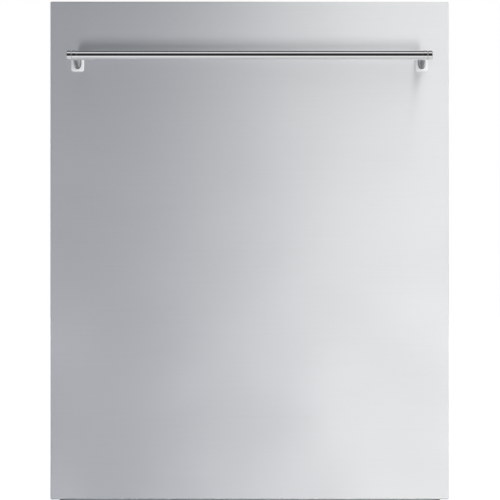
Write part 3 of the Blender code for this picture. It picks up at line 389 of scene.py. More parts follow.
def front_panel():
    """The folded steel front: a face with softly rounded edges, and its returns to the back."""
    low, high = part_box("front_panel")
    bm = bmesh.new()
    add_box(bm, low, high, 0.0016, 5)
    back = [face for face in bm.faces if face.calc_center_median().y > high.y - 0.0002]
    bmesh.ops.delete(bm, geom=back, context="FACES")
    for vert in bm.verts:
        if vert.co.y > high.y - 0.0020:
            vert.co.y = high.y
    bmesh.ops.remove_doubles(bm, verts=bm.verts, dist=0.00002)
    mesh = mesh_from(bm, "front_panel_skin", 60)
    panel = piece("front_panel_skin", mesh, "door", "front_steel", ["front_panel"])
    sheet = panel.modifiers.new("sheet", "SOLIDIFY")
    sheet.thickness = 0.0010
    sheet.offset = -1


def handle_bar():
    """Chromed bar with a shallow chamfer at each end, where the caps begin."""
    low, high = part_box("handle_bar")
    centre = (low + high) / 2
    radius, half = (high.z - low.z) / 2, (high.x - low.x) / 2
    profile = [(0, -half), (radius - 0.0005, -half), (radius, -half + 0.0005)]
    profile += [(radius, half - 0.0005), (radius - 0.0005, half), (0, half)]
    bm = bmesh.new()
    add_turned(bm, profile, centre, "X", 96)
    piece("handle_grip", mesh_from(bm, "handle_grip", 25), "door", "handle_steel", ["handle_bar"])


def bar_cap(side, sign):
    """End cap: a short drum with a rounded rim and a faintly domed face."""
    node = side + "_bar_cap"
    low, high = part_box(node)
    radius, length = (high.z - low.z) / 2, high.x - low.x
    inner_x = low.x if sign > 0 else high.x
    rim, steps = 0.0014, 6
    profile = [(0, 0), (radius - 0.0004, 0), (radius, 0.0004)]
    for step in range(steps + 1):
        angle = math.pi / 2 * step / steps
        profile.append((radius - rim + rim * math.cos(angle), length - 0.0004 - rim + rim * math.sin(angle)))
    profile.append((0, length))
    bm = bmesh.new()
    add_turned(bm, profile, (inner_x, middle(node).y, middle(node).z), "X" if sign > 0 else "-X", 72)
    piece(side + "_end_cap", mesh_from(bm, node, 25), "door", "handle_steel", [node])


def handle_post(side):
    """Rounded foot plate, a stem that tapers to the bar, and a collar around the bar."""
    node = side + "_handle_post"
    low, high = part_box(node)
    bar_low, bar_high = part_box("handle_bar")
    bar = (bar_low + bar_high) / 2
    panel_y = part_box("front_panel")[0].y
    centre_x = (low.x + high.x) / 2
    bm = bmesh.new()
    add_plate(bm, (low.x, high.x), (low.z, low.z + 0.0280), panel_y - 0.0033, panel_y - GAP, 0.0036)
    plate = mesh_from(bm, side + "_post_plate", 30)
    # The foot plate takes the near-white painted highlight instead of polished steel.
    piece(side + "_post_plate", plate, "door", "handle_steel", [node], HIGHLIGHT_PAINTED_PLATE)
    bm = bmesh.new()
    # Reach from the panel, half width, half height and rise above the bar's middle
    stations = [
        (0.0020, 0.0066, 0.0128, -0.0036),
        (0.0040, 0.0055, 0.0118, -0.0034),
        (0.0080, 0.0049, 0.0108, -0.0031),
        (0.0140, 0.0045, 0.0098, -0.0026),
        (0.0220, 0.0041, 0.0083, -0.0018),
        (0.0300, 0.0038, 0.0072, -0.0010),
        (0.0380, 0.0037, 0.0064, -0.0004),
        (0.0468, 0.0038, 0.0058, 0.0),
    ]
    rings = []
    sides, squareness = 40, 2.6
    for reach, half_x, half_z, rise in stations:
        ring = []
        for number in range(sides):
            angle = 2 * math.pi * number / sides
            across, up = math.cos(angle), math.sin(angle)
            grow = (abs(across) ** squareness + abs(up) ** squareness) ** (-1 / squareness)
            at = (centre_x + across * grow * half_x, panel_y - reach, bar.z + rise + up * grow * half_z)
            ring.append(bm.verts.new(at))
        rings.append(ring)
    add_skin(bm, rings)
    # The stem takes the darkened chrome, a painted shade.
    piece(side + "_post_stem", mesh_from(bm, side + "_post_stem", 30), "door", "handle_steel", material=SHADE_PAINTED_CHROME)
    bm = bmesh.new()
    collar_half, collar_radius, round_over = 0.0036, 0.0072, 0.0008
    profile = [(0, -collar_half), (collar_radius - round_over, -collar_half)]
    for step in range(5):
        angle = math.pi / 2 * step / 4
        radius = collar_radius - round_over + round_over * math.sin(angle)
        profile.append((radius, -collar_half + round_over - round_over * math.cos(angle)))
    add_turned(bm, mirrored(profile), (centre_x, bar.y, bar.z), "X", 72)
    piece(side + "_post_collar", mesh_from(bm, side + "_post_collar", 30), "door", "handle_steel")


def add_plate(bm, x_range, z_range, front_y, back_y, corner):
    """Adds a plate in the XZ plane with rounded corners and a softened front edge."""
    (x_low, x_high), (z_low, z_high) = x_range, z_range
    steps, edge = 8, 0.0006

    def ring(inset, y):
        points = []
        corners = ((x_high, z_high, 0), (x_low, z_high, 1), (x_low, z_low, 2), (x_high, z_low, 3))
        for x, z, quarter in corners:
            centre_x = x - corner if x == x_high else x + corner
            centre_z = z - corner if z == z_high else z + corner
            for step in range(steps + 1):
                angle = math.pi / 2 * (quarter + step / steps)
                radius = corner - inset
                points.append((centre_x + radius * math.cos(angle), y, centre_z + radius * math.sin(angle)))
        return [bm.verts.new(point) for point in points]

    rings = [ring(0, back_y), ring(0, front_y + edge)]
    for step in range(1, 5):
        angle = math.pi / 2 * step / 4
        rings.append(ring(edge * (1 - math.cos(angle)), front_y + edge * (1 - math.sin(angle))))
    add_skin(bm, rings)


# Racks and what stands in them


def evenly(low, high, gaps):
    """Places from low to high with that many equal gaps between them."""
    return [low + (high - low) * step / gaps for step in range(gaps + 1)]


def rack(name, gaps, support_rows, support_x, support_height):
    """Open rack of round coated wire: hoops both ways, three rings and rows of fixed plate supports."""
    low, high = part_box(name)
    thick, thin, support_wire = 0.0022, 0.0017, 0.0014
    ring_bend, hoop_bend, support_bend = 0.018, 0.009, 0.0022
    low, high = low + Vector((thick,) * 3), high - Vector((thick,) * 3)
    rings = []
    for z in (low.z, (low.z + high.z) / 2, high.z):
        corners = [(low.x, low.y, z), (high.x, low.y, z), (high.x, high.y, z), (low.x, high.y, z)]
        rings.append((bent(corners, ring_bend, 8, closed=True), True))
    wires(name + "_rings", rings, thick, name, "rack_wire", [name])
    inset = 0.020
    hoops = []
    for x in evenly(low.x + inset, high.x - inset, gaps[0]):
        corners = [(x, low.y, high.z), (x, low.y, low.z), (x, high.y, low.z), (x, high.y, high.z)]
        hoops.append((bent(corners, hoop_bend), False))
    for y in evenly(low.y + inset, high.y - inset, gaps[1]):
        corners = [(low.x, y, high.z), (low.x, y, low.z), (high.x, y, low.z), (high.x, y, high.z)]
        hoops.append((bent(corners, hoop_bend), False))
    wires(name + "_hoops", hoops, thin, name, "rack_wire")
    pitch, half_foot = 0.030, 0.012
    first, last = support_x
    supports = []
    for y in support_rows:
        for x in evenly(first, last, round((last - first) / pitch)):
            corners = [(x, y - half_foot, low.z), (x, y, low.z + support_height), (x, y + half_foot, low.z)]
            supports.append((bent(corners, support_bend), False))
    wires(name + "_plate_supports", supports, support_wire, name, "rack_wire")


def folding_comb():
    """Rod with a collar and a round-tipped pin for each plate."""
    low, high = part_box("folding_tines")
    rod_radius, pin_radius, collar_radius, pitch = 0.0024, 0.0019, 0.0029, 0.030
    y, z, tip = (low.y + high.y) / 2, low.z + rod_radius, high.z
    rod = [Vector((low.x, y, z)), Vector((high.x, y, z))]
    wires("folding_rod", [(rod, False)], rod_radius, "folding_tines", "rack_wire", ["folding_tines"])
    pin = [(0, z), (pin_radius, z), (pin_radius, tip - pin_radius), (0.0014, tip - 0.0006), (0, tip)]
    collar = [(rod_radius, -0.0021), (collar_radius, -0.0012), (collar_radius, 0.0012), (rod_radius, 0.0021)]
    pins = round((high.x - low.x) / pitch)
    bm = bmesh.new()
    for x in evenly(low.x + pitch / 2, high.x - pitch / 2, pins - 1):
        add_turned(bm, pin, (x, y, 0), "Z", 12)
        add_turned(bm, collar, (x, y, z), "X", 16)
    piece("folding_tine_pins", mesh_from(bm, "folding_tine_pins"), "folding_tines", "rack_wire")


def wheel(row, side, sign):
    """Rack wheel: a rounded tread on five spokes around a stepped hub with an axle."""
    name = f"{row}_{side}_wheel"
    low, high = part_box(name)
    half_width, spokes = 0.0045, 5
    outer_x = high.x if sign > 0 else low.x
    centre = Vector((outer_x - sign * half_width, (low.y + high.y) / 2, (low.z + high.z) / 2))
    bm = bmesh.new()
    tread = [(0.0112, -0.0030), (0.0118, -half_width), (0.0140, -half_width), (0.0148, -0.0036)]
    tread.append((0.0150, -0.0020))
    add_turned(bm, mirrored(tread) + tread[:1], centre, "X", 64)
    hub = [(0, -0.0070), (0.0024, -0.0070), (0.0024, -0.0043), (0.0046, -0.0043), (0.0052, -0.0036)]
    hub += [(0.0052, 0.0036), (0.0046, half_width), (0.0026, half_width), (0.0020, 0.0038), (0, 0.0038)]
    add_turned(bm, hub, centre, "X" if sign > 0 else "-X", 40)
    for number in range(spokes):
        place = Matrix.Translation(centre) @ Matrix.Rotation(2 * math.pi * number / spokes, 4, "X")
        add_box(bm, (-0.0023, -0.0011, 0.0048), (0.0023, 0.0011, 0.0118), 0.0005, 2, place)
    piece(name + "_spoked", mesh_from(bm, name), name, "rack_nylon", [name])


def cutlery_basket():
    """Basket of moulded bars: slotted walls, a gridded floor and a middle wall with a hand grip."""
    low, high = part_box("cutlery_basket")
    rim, bar, edge_half, rail_half = 0.365, 0.0011, 0.0045, 0.0018
    columns, rows = 10, 20
    bm = bmesh.new()
    bands = [(low.z + edge_half, edge_half), (low.z + 0.040, rail_half)]
    bands += [(low.z + 0.078, rail_half), (rim - 0.005, edge_half)]
    for z, half in bands:
        for y in (low.y, high.y - 2 * bar):
            add_box(bm, (low.x, y, z - half), (high.x, y + 2 * bar, z + half), 0.0006, 2)
        for x in (low.x, high.x - 2 * bar):
            add_box(bm, (x, low.y, z - half), (x + 2 * bar, high.y, z + half), 0.0006, 2)

    def upright(x, y):
        add_box(bm, (x - bar, y - bar, low.z + 0.001), (x + bar, y + bar, rim - 0.001), 0.0004, 1)

    for x in evenly(low.x + bar, high.x - bar, columns):
        upright(x, low.y + bar)
        upright(x, high.y - bar)
        add_box(bm, (x - bar, low.y + 0.001, low.z), (x + bar, high.y - 0.001, low.z + 2 * bar), 0.0004, 1)
    for y in evenly(low.y + bar, high.y - bar, rows):
        upright(low.x + bar, y)
        upright(high.x - bar, y)
        add_box(bm, (low.x + 0.001, y - bar, low.z), (high.x - 0.001, y + bar, low.z + 2 * bar), 0.0004, 1)
    piece("cutlery_cage", mesh_from(bm, "cutlery_cage"), "lower_rack", "grey_plastic", ["cutlery_basket"])
    x, wall, grip_radius = (low.x + high.x) / 2, 0.0016, 0.0058
    front, back, hand_low = -0.092, 0.052, 0.400
    post_width = 0.017
    bm = bmesh.new()
    add_box(bm, (x - wall, low.y + 0.001, low.z + 0.001), (x + wall, high.y - 0.001, rim + 0.004), 0.0008, 2)
    for post in (front, back - post_width):
        add_box(bm, (x - wall, post, rim), (x + wall, post + post_width, high.z - 0.004), 0.0012, 3)
    add_box(bm, (x - wall, front + 0.004, rim), (x + wall, back - 0.004, hand_low), 0.0012, 3)
    piece("cutlery_divider", mesh_from(bm, "cutlery_divider"), "lower_rack", "grey_plastic")
    grip = [Vector((x, y, high.z - 0.0060)) for y in (front + 0.0054, back - 0.0054)]
    wires("cutlery_grip", [(grip, False)], grip_radius, "lower_rack", "grey_plastic", resolution=8)


def rack_grips():
    """Moulded hand grip on the front rim of each rack."""
    half, slim, full, rim_wire = 0.085, 0.0024, 0.0054, 0.0022
    for name in ("upper_rack", "lower_rack"):
        low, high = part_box(name)
        swell = [(slim, -half), (full * 0.8, -half + 0.003), (full * 0.94, -half * 0.6)]
        profile = swell + [(full, 0)] + [(radius, -along) for radius, along in reversed(swell)]
        bm = bmesh.new()
        add_turned(bm, profile, (0, low.y + rim_wire, high.z - rim_wire), "X", 40)
        piece(name + "_grip", mesh_from(bm, name + "_grip", 60), name, "grey_plastic")


# Spray arms, filters and salt cap

ARM_Y = 0.065
SUMP_CENTRE = (0, -0.030, 0)


def arm_lean(share):
    """How far the arm's middle line lies behind its pivot, at that share of its reach."""
    return 0.010 * math.sin(math.pi * share)


def spray_arm(name, height):
    """Two-bladed arm with a rounded section, raised jets and a domed hub."""
    low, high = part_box(name)
    reach, hub_top, hub_low, hub_radius = high.x, high.z, height - 0.008, 0.0190
    stations, around = 72, 24
    tip_half, swell, half_thickness, rounding = 0.012, 0.012, 0.0050, 0.07
    bm = bmesh.new()
    rows = []
    for step in range(stations + 1):
        along = -math.cos(math.pi * step / stations)
        half = tip_half + swell * math.exp(-((along * 3.2) ** 2))
        past = max(0.0, (abs(along) - (1 - rounding)) / rounding)
        squeeze = max(0.04, math.sqrt(max(0.0, 1 - past * past)))
        row = []
        for number in range(around):
            angle = 2 * math.pi * number / around
            wide, tall = math.cos(angle), math.sin(angle)
            y = math.copysign(abs(wide) ** 0.75, wide) * half * squeeze
            z = math.copysign(abs(tall) ** 0.60, tall) * half_thickness * (0.35 + 0.65 * squeeze)
            row.append(bm.verts.new((along * reach, ARM_Y + arm_lean(along) + y, height + z)))
        rows.append(row)
    add_skin(bm, rows)
    dome = [(0, hub_top), (0.0110, hub_top), (0.0165, hub_top - 0.0010), (0.0187, hub_top - 0.0028)]
    dome += [(hub_radius, hub_top - 0.0045), (hub_radius, hub_low + 0.0012), (0.0180, hub_low), (0, hub_low)]
    add_turned(bm, dome, (0, ARM_Y, 0), "Z", 64)
    if low.z < hub_low:
        stub = [(0, low.z), (0.0088, low.z), (0.0095, low.z + 0.001), (0.0095, hub_low + 0.001)]
        add_turned(bm, stub, (0, ARM_Y, 0), "Z", 40)
    piece(name + "_moulding", mesh_from(bm, name, 50), name, "grey_plastic", [name])
    jet = [(0, 0.0014), (0.0014, 0.0014), (0.0016, 0.0021), (0.0031, 0.0020), (0.0040, 0.0004), (0.0040, 0)]
    bm = bmesh.new()
    for share in (0.24, 0.36, 0.48, 0.61, 0.74, 0.87):
        for sign in (-1, 1):
            y = ARM_Y + arm_lean(share * sign) + 0.003 * math.sin(9 * share)
            add_turned(bm, jet, (sign * share * reach, y, height + 0.0040), "Z", 24)
    piece(name + "_jets", mesh_from(bm, name + "_jets"), name, "dark_plastic")


def sieve(bm, rows, holes, share, plain=()):
    """Adds a skin turned through (radius, height) rows, with a hole in each cell outside the plain rows."""
    rings = []
    for radius, z in rows:
        angles = [2 * math.pi * number / holes for number in range(holes)]
        places = [Vector((radius * math.cos(angle), radius * math.sin(angle), z)) for angle in angles]
        rings.append([bm.verts.new(place + Vector(SUMP_CENTRE)) for place in places])
    for level, (near, far) in enumerate(zip(rings, rings[1:])):
        for number in range(holes):
            onward = (number + 1) % holes
            cell = (near[number], near[onward], far[onward], far[number])
            if level in plain:
                bm.faces.new(cell)
                continue
            centre = sum((vert.co for vert in cell), Vector()) / 4
            inner = [bm.verts.new(centre.lerp(vert.co, share)) for vert in cell]
            for index in range(4):
                after = (index + 1) % 4
                bm.faces.new((cell[index], cell[after], inner[after], inner[index]))


def thickened(obj, thickness):
    """Gives a skin its sheet thickness, inwards."""
    solid = obj.modifiers.new("thickness", "SOLIDIFY")
    solid.thickness = thickness
    solid.offset = -1


def filters():
    """Perforated plate over the sump and the slotted cup that turns in it."""
    inner, outer, inner_z, rise = 0.0375, 0.080, 0.2062, 0.0028
    steps = 14
    shares = evenly(0, 1, steps)
    bm = bmesh.new()
    rows = [(inner + (outer - inner) * share, inner_z + rise * share) for share in shares]
    sieve(bm, rows, 150, 0.55, plain=(0, steps - 1))
    mesh = mesh_from(bm, "filter_sieve", 80)
    thickened(piece("filter_sieve", mesh, "cabinet", "tub_steel", ["filter_plate"]), 0.0012)

    low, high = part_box("filter_cup")
    rim_low, rim_top = 0.2060, 0.2110
    rim = [(0.0325, rim_top), (0.0392, rim_top), (0.0400, 0.2104), (0.0400, 0.2078), (0.0394, 0.2072)]
    rim += [(0.0345, rim_low), (0.0325, 0.2062), (0.0325, rim_top)]
    base = [(0, low.z), (0.0284, low.z), (0.0290, low.z + 0.0006), (0.0294, low.z + 0.0060)]
    base += [(0.0272, low.z + 0.0060), (0.0268, low.z + 0.0022), (0, low.z + 0.0022)]
    bm = bmesh.new()
    add_turned(bm, rim, SUMP_CENTRE, "Z", 96)
    add_turned(bm, base, SUMP_CENTRE, "Z", 96)
    grip_half_x, grip_half_y, grip_y = 0.034, 0.0020, SUMP_CENTRE[1]
    grip_low = (-grip_half_x, grip_y - grip_half_y, rim_low)
    add_box(bm, grip_low, (grip_half_x, grip_y + grip_half_y, high.z), 0.0012, 3)
    piece("filter_rim", mesh_from(bm, "filter_rim"), "filter_cup", "grey_plastic", ["filter_cup"])
    foot_radius, flare, foot_z, cage_height = 0.0293, 0.0050, 0.1235, 0.0825
    bm = bmesh.new()
    rows = [(foot_radius + flare * share, foot_z + cage_height * share) for share in evenly(0, 1, 6)]
    sieve(bm, rows, 60, 0.62)
    cage = piece("filter_cage", mesh_from(bm, "filter_cage", 80), "filter_cup", "grey_plastic")
    thickened(cage, 0.0014)


def salt_cap():
    """Screw cap with a fluted edge and a grip bar."""
    low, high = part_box("salt_cap")
    centre = Vector(((low.x + high.x) / 2, (low.y + high.y) / 2, 0))
    radius, edge_z, flutes, flute_radius = 0.0285, 0.2133, 36, 0.0006
    skirt = [(0, low.z), (radius - 0.0005, low.z), (radius, low.z + 0.0005), (radius, edge_z - 0.0011)]
    skirt += [(0.0274, edge_z), (0.0235, edge_z), (0.0220, edge_z - 0.0013), (0, edge_z - 0.0013)]
    flute = [(0, 0.2078), (flute_radius, 0.2080), (flute_radius, 0.2120), (0, 0.2124)]
    bm = bmesh.new()
    add_turned(bm, skirt, centre, "Z", 80)
    for number in range(flutes):
        angle = 2 * math.pi * number / flutes
        around = Vector((math.cos(angle), math.sin(angle), 0)) * (radius - flute_radius)
        add_turned(bm, flute, centre + around, "Z", 8)
    half = Vector((0.0200, 0.0028, 0))
    add_box(bm, centre - half + Vector((0, 0, 0.2115)), centre + half + Vector((0, 0, high.z)), 0.0014, 3)
    piece("salt_cap_moulding", mesh_from(bm, "salt_cap"), "salt_cap", "blue_plastic", ["salt_cap"])


# Tub


def gasket():
    """Round sealing cord along the sides and top of the tub's mouth."""
    low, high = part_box("door_gasket")
    radius = (high.y - low.y) / 2
    x, y = high.x - radius, (low.y + high.y) / 2
    corners = [(-x, y, low.z), (-x, y, high.z - radius), (x, y, high.z - radius), (x, y, low.z)]
    path = (bent(corners, 0.016, 16), False)
    wires("gasket_cord", [path], radius, "cabinet", "gasket_rubber", ["door_gasket"], resolution=8)


def tub_beads():
    """Pressed beads that stiffen the tub's walls."""
    side_x, back_y, sunk, bend = 0.272, 0.290, 0.0008, 0.020
    frames = []
    for low_z, high_z in ((0.285, 0.520), (0.625, 0.795)):
        for sign in (-1, 1):
            x = sign * (side_x + sunk)
            corners = [(x, -0.110, low_z), (x, 0.230, low_z), (x, 0.230, high_z), (x, -0.110, high_z)]
            frames.append((bent(corners, bend, closed=True), True))
        for low_x, high_x in ((-0.215, -0.045), (0.045, 0.215)):
            y = back_y + sunk
            corners = [(low_x, y, low_z), (high_x, y, low_z), (high_x, y, high_z), (low_x, y, high_z)]
            frames.append((bent(corners, bend, closed=True), True))
    wires("tub_beads", frames, 0.0020, "cabinet", "tub_steel")


# Springs, feet and screws


def coil_spring(side):
    """Tension spring from a hook on the hinge arm to its anchor on the base."""
    node = side + "_door_spring"
    x = middle(node).x
    start, end = Vector((x, -0.1890, 0.1738)), Vector((x, 0.1490, 0.1204))
    line, across = end - start, Vector((1, 0, 0))
    up = across.cross(line).normalized()
    radius, turns, steps, neck = 0.0022, 96, 14, 0.015
    first, last = 0.22, 0.93
    path = [start, start + line * (first - neck)]
    for step in range(turns * steps + 1):
        share = first + (last - first) * step / (turns * steps)
        angle = 2 * math.pi * step / steps
        around = up * (radius * math.cos(angle)) + across * (radius * math.sin(angle))
        path.append(start + line * share + around)
    path += [start + line * (last + neck), end]
    holder = bpy.data.objects.new(node, wire_curve(node, [(path, False)], 0.0008, 2))
    bpy.context.scene.collection.objects.link(holder)
    bpy.context.view_layer.update()
    mesh = bpy.data.meshes.new_from_object(holder.evaluated_get(bpy.context.evaluated_depsgraph_get()))
    bpy.data.objects.remove(holder)
    mesh.materials.clear()
    mesh.materials.append(SPRING)
    mesh.shade_smooth()
    coil = bpy.data.objects.new(node + "_coil", mesh)
    LOOKS.objects.link(coil)
    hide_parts(node)
    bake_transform(coil)


def levelling_foot(row, side):
    """Round pad, hexagonal collar and a threaded stem."""
    name = f"{row}_{side}_foot"
    low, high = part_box(name)
    at = ((low.x + high.x) / 2, (low.y + high.y) / 2, 0)
    pad = [(0, 0), (0.0182, 0), (0.0190, 0.0010), (0.0190, 0.0028), (0.0180, 0.0040)]
    pad += [(0.0110, 0.0050), (0, 0.0050)]
    hexagon = [(0, 0.0045), (0.0095, 0.0045), (0.0095, 0.0088), (0.0086, 0.0095), (0, 0.0095)]
    bm = bmesh.new()
    add_turned(bm, pad, at, "Z", 64)
    add_turned(bm, hexagon, at, "Z", 6)
    piece(name + "_pad", mesh_from(bm, name, 30), name, "dark_plastic", [name])
    root, crest, thread_pitch, z = 0.0052, 0.0060, 0.0012, 0.0090
    thread = [(0, z), (root, z)]
    while z < high.z - 0.0030:
        thread += [(crest, z + thread_pitch / 2), (root, z + thread_pitch)]
        z += thread_pitch
    thread += [(0.0046, high.z), (0, high.z)]
    bm = bmesh.new()
    add_turned(bm, thread, at, "Z", 32)
    piece(name + "_thread", mesh_from(bm, name + "_thread", 80), name, "galvanised")


def screws():
    """Pan-head screws with a dimple, on the side panels and rear cover and along the liner's edges."""
    side_x, back_y, liner_y = 0.2956, 0.3076, -0.1789
    spots = []
    for sign in (-1, 1):
        for y in (-0.140, 0.070, 0.285):
            for z in (0.075, 0.835):
                spots.append(((sign * side_x, y, z), "X" if sign > 0 else "-X"))
        for z in (0.085, 0.330, 0.580, 0.825):
            spots.append(((sign * 0.270, back_y, z), "Y"))
    head = [(0.0040, 0), (0.0038, 0.0010), (0.0030, 0.0017), (0.0016, 0.0020), (0.0014, 0.0012), (0, 0.0010)]
    bm = bmesh.new()
    for at, axis in spots:
        add_turned(bm, head, at, axis, 28)
    piece("case_screws", mesh_from(bm, "case_screws", 40), "cabinet", "galvanised")
    flat_head = [(0.0036, 0), (0.0033, 0.0008), (0.0014, 0.0012), (0.0012, 0.0004), (0, 0.0003)]
    bm = bmesh.new()
    for sign in (-1, 1):
        for z in (0.160, 0.400, 0.640, 0.835):
            add_turned(bm, flat_head, (sign * 0.2795, liner_y, z), "Y", 24)
    piece("liner_screws", mesh_from(bm, "liner_screws", 40), "door", "tub_steel")


# Controls and dispenser

BUTTONS = ("power_button", "program_button", "start_button")


def controls():
    """Dark display window, a row of lamps and generic symbols on the top edge of the door."""
    top, window_y, half_depth = 0.856, -0.209, 0.0110
    bm = bmesh.new()
    corner = (-0.050, window_y - half_depth, top - 0.0010)
    add_box(bm, corner, (0.090, window_y + half_depth, top + 0.0004), 0.0003, 2)
    piece("display_window", mesh_from(bm, "display_window"), "door", "dark_plastic", material=GLOSS)
    lamp = [(0, 0.0009), (0.0011, 0.0008), (0.0014, 0.0004), (0.0014, 0)]
    bm = bmesh.new()
    for x in evenly(-0.090, -0.060, 4):
        add_turned(bm, lamp, (x, window_y, top - 0.0004), "Z", 20)
    piece("programme_lamps", mesh_from(bm, "programme_lamps"), "door", "light_plastic")

    def mark(x, points, closed=False):
        """Path of a symbol, from points about its centre, beside the button at x."""
        centre = Vector((x, window_y + 0.0100, top + 0.0001))
        return [centre + Vector((across, along, 0)) for across, along in points], closed

    gap, full, step = 40, 320, 14
    angles = [math.radians(angle) for angle in range(gap, full + 1, step)]
    ring = [(0.0026 * math.sin(angle), 0.0026 * math.cos(angle)) for angle in angles]
    power_x, program_x, start_x = (middle(name).x for name in BUTTONS)
    marks = [mark(power_x, ring), mark(power_x, [(0, 0.0006), (0, 0.0032)])]
    marks.append(mark(start_x, [(-0.0018, -0.0024), (0.0026, 0), (-0.0018, 0.0024)], True))
    marks += [mark(program_x, [(-0.0026, along), (0.0026, along)]) for along in (-0.0016, 0, 0.0016)]
    wires("button_symbols", marks, 0.00028, "door", "light_plastic", resolution=2)


def button(name):
    """Key with rounded edges and a flat top face."""
    low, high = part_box(name)
    inset = Vector((0.0030, 0.0026, 0))
    bm = bmesh.new()
    add_box(bm, low, high, 0.0014, 4)
    add_box(bm, Vector((low.x, low.y, high.z - 0.0009)) + inset, high - inset, 0.0002, 1)
    piece(name + "_key", mesh_from(bm, name), name, "light_plastic", [name])


def rinse_aid_cap():
    """Round cap with a recessed face and a grip bar."""
    low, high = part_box("rinse_aid_cap")
    centre, face, radius = middle("rinse_aid_cap"), high.y - 0.0025, 0.0155
    profile = [(0, low.y), (radius - 0.0005, low.y), (radius, low.y + 0.0006), (radius, face - 0.0012)]
    profile += [(0.0143, face), (0.0118, face), (0.0108, face - 0.0012), (0, face - 0.0012)]
    half = Vector((0.0110, 0, 0.002))
    bm = bmesh.new()
    add_turned(bm, profile, (centre.x, 0, centre.z), "Y", 64)
    grip_low = Vector((centre.x, face - 0.002, centre.z)) - half
    add_box(bm, grip_low, Vector((centre.x, high.y, centre.z)) + half, 0.001)
    mesh = mesh_from(bm, "rinse_aid_knob")
    piece("rinse_aid_knob", mesh, "rinse_aid_cap", "blue_plastic", ["rinse_aid_cap"])


def dispenser_lid():
    """Softly rounded lid with a raised field and three grip ribs, and the level window beside it."""
    low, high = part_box("dispenser_lid")
    face, rib_half, rib_pitch = high.y - 0.0020, 0.0008, 0.0028
    bm = bmesh.new()
    add_box(bm, low, (high.x, face, high.z), 0.0012, 4)
    field_low = (low.x + 0.020, face - 0.001, low.z + 0.008)
    add_box(bm, field_low, (high.x - 0.006, face + 0.0005, high.z - 0.008), 0.0004, 2)
    for number in range(3):
        x = low.x + 0.008 + rib_pitch * number
        add_box(bm, (x - rib_half, face - 0.001, 0.530), (x + rib_half, high.y, 0.552), 0.0006, 3)
    mesh = mesh_from(bm, "dispenser_lid")
    piece("dispenser_lid_moulding", mesh, "dispenser_lid", "grey_plastic", ["dispenser_lid"])
    lens = [(0.0050, 0), (0.0048, 0.0005), (0.0030, 0.0010), (0, 0.0012)]
    bm = bmesh.new()
    add_turned(bm, lens, (0.040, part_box("detergent_dispenser")[1].y, 0.565), "Y", 40)
    piece("level_window", mesh_from(bm, "level_window"), "door", "dark_plastic", material=GLOSS)


def inside():
    """Everything behind the front panel."""
    rack("upper_rack", (14, 12), (-0.075, 0.020, 0.170), (-0.210, 0.210), 0.050)
    rack("lower_rack", (13, 11), (-0.095, -0.035, 0.025), (-0.210, 0.090), 0.070)
    folding_comb()
    cutlery_basket()
    spray_arm("lower_spray_arm", 0.228)
    spray_arm("upper_spray_arm", 0.468)
    filters()
    salt_cap()
    gasket()
    controls()
    rinse_aid_cap()
    dispenser_lid()
    tub_beads()
    rack_grips()
    screws()
    for name in BUTTONS:
        button(name)
    for side, sign in SIDES:
        coil_spring(side)
        for row in ("front", "rear"):
            wheel(row, side, sign)
            levelling_foot(row, side)


# The studio


def world_light():
    """Soft surround of light. Mirror finishes see darker gaps between the panels than satin ones do."""
    world = bpy.data.worlds.new("studio")
    bpy.context.scene.world = world
    world.use_nodes = True
    tree = world.node_tree
    tree.nodes.clear()

    def node(kind, inputs=None, **settings):
        made = tree.nodes.new(kind)
        for key, value in settings.items():
            setattr(made, key, value)
        for key, value in (inputs or {}).items():
            if isinstance(value, bpy.types.NodeSocket):
                tree.links.new(value, made.inputs[key])
            else:
                made.inputs[key].default_value = value
        return made

    def level(stops):
        """Brightness by angle about X, in degrees up from straight ahead of the front."""
        ramp = node("ShaderNodeValToRGB", {"Fac": turn.outputs[0]})
        elements = ramp.color_ramp.elements
        while len(elements) < len(stops):
            elements.new(0.5)
        for element, (angle, value) in zip(elements, stops):
            element.position = (angle + 180) / 360
            element.color = (value, value, value, 1)
        return ramp.outputs[0]

    def tinted_level(stops, span, tints):
        """A level whose tint turns from the first to the second across a span of the sideways direction."""
        across = {"Value": split.outputs["X"], "From Min": span[0], "From Max": span[1]}
        side = node("ShaderNodeMapRange", across, interpolation_type="SMOOTHSTEP")
        left, right = tints
        return mix("MULTIPLY", 1.0, level(stops), mix("MIX", side.outputs[0], (*left, 1), (*right, 1)))

    def mix(kind, factor, a, b):
        made = node("ShaderNodeMix", {0: factor}, data_type="RGBA", blend_type=kind)
        for index, value in ((6, a), (7, b)):
            if isinstance(value, bpy.types.NodeSocket):
                tree.links.new(value, made.inputs[index])
            else:
                made.inputs[index].default_value = value
        return made.outputs[2]

    coords = node("ShaderNodeTexCoord")
    split = node("ShaderNodeSeparateXYZ", {0: coords.outputs["Generated"]})
    ahead = node("ShaderNodeMath", {0: split.outputs["Y"], 1: -1.0}, operation="MULTIPLY")
    angle = node("ShaderNodeMath", {0: split.outputs["Z"], 1: ahead.outputs[0]}, operation="ARCTAN2")
    turn = node("ShaderNodeMapRange", {"Value": angle.outputs[0], "From Min": -math.pi, "From Max": math.pi})
    soft = tinted_level(HIGH_LEVELS, HIGH_SPAN, HIGH_TINTS)
    strip = tinted_level(STRIP_LEVELS, STRIP_SPAN, STRIP_TINTS)
    satin = mix("ADD", 1.0, soft, strip)
    mirror = tinted_level(MIRROR_LEVELS, STRIP_SPAN, MIRROR_TINTS)
    path = node("ShaderNodeLightPath")
    seen = mix("MIX", path.outputs["Is Singular Ray"], satin, mirror)
    background = node("ShaderNodeBackground", {"Color": seen, "Strength": LIGHT_STRENGTH})
    camera_ray = node("ShaderNodeBackground", {"Color": (1, 1, 1, 1), "Strength": 1.0})
    shader = node("ShaderNodeMixShader", {0: path.outputs["Is Camera Ray"]})
    tree.links.new(background.outputs[0], shader.inputs[1])
    tree.links.new(camera_ray.outputs[0], shader.inputs[2])
    output = node("ShaderNodeOutputWorld")
    tree.links.new(shader.outputs[0], output.inputs["Surface"])


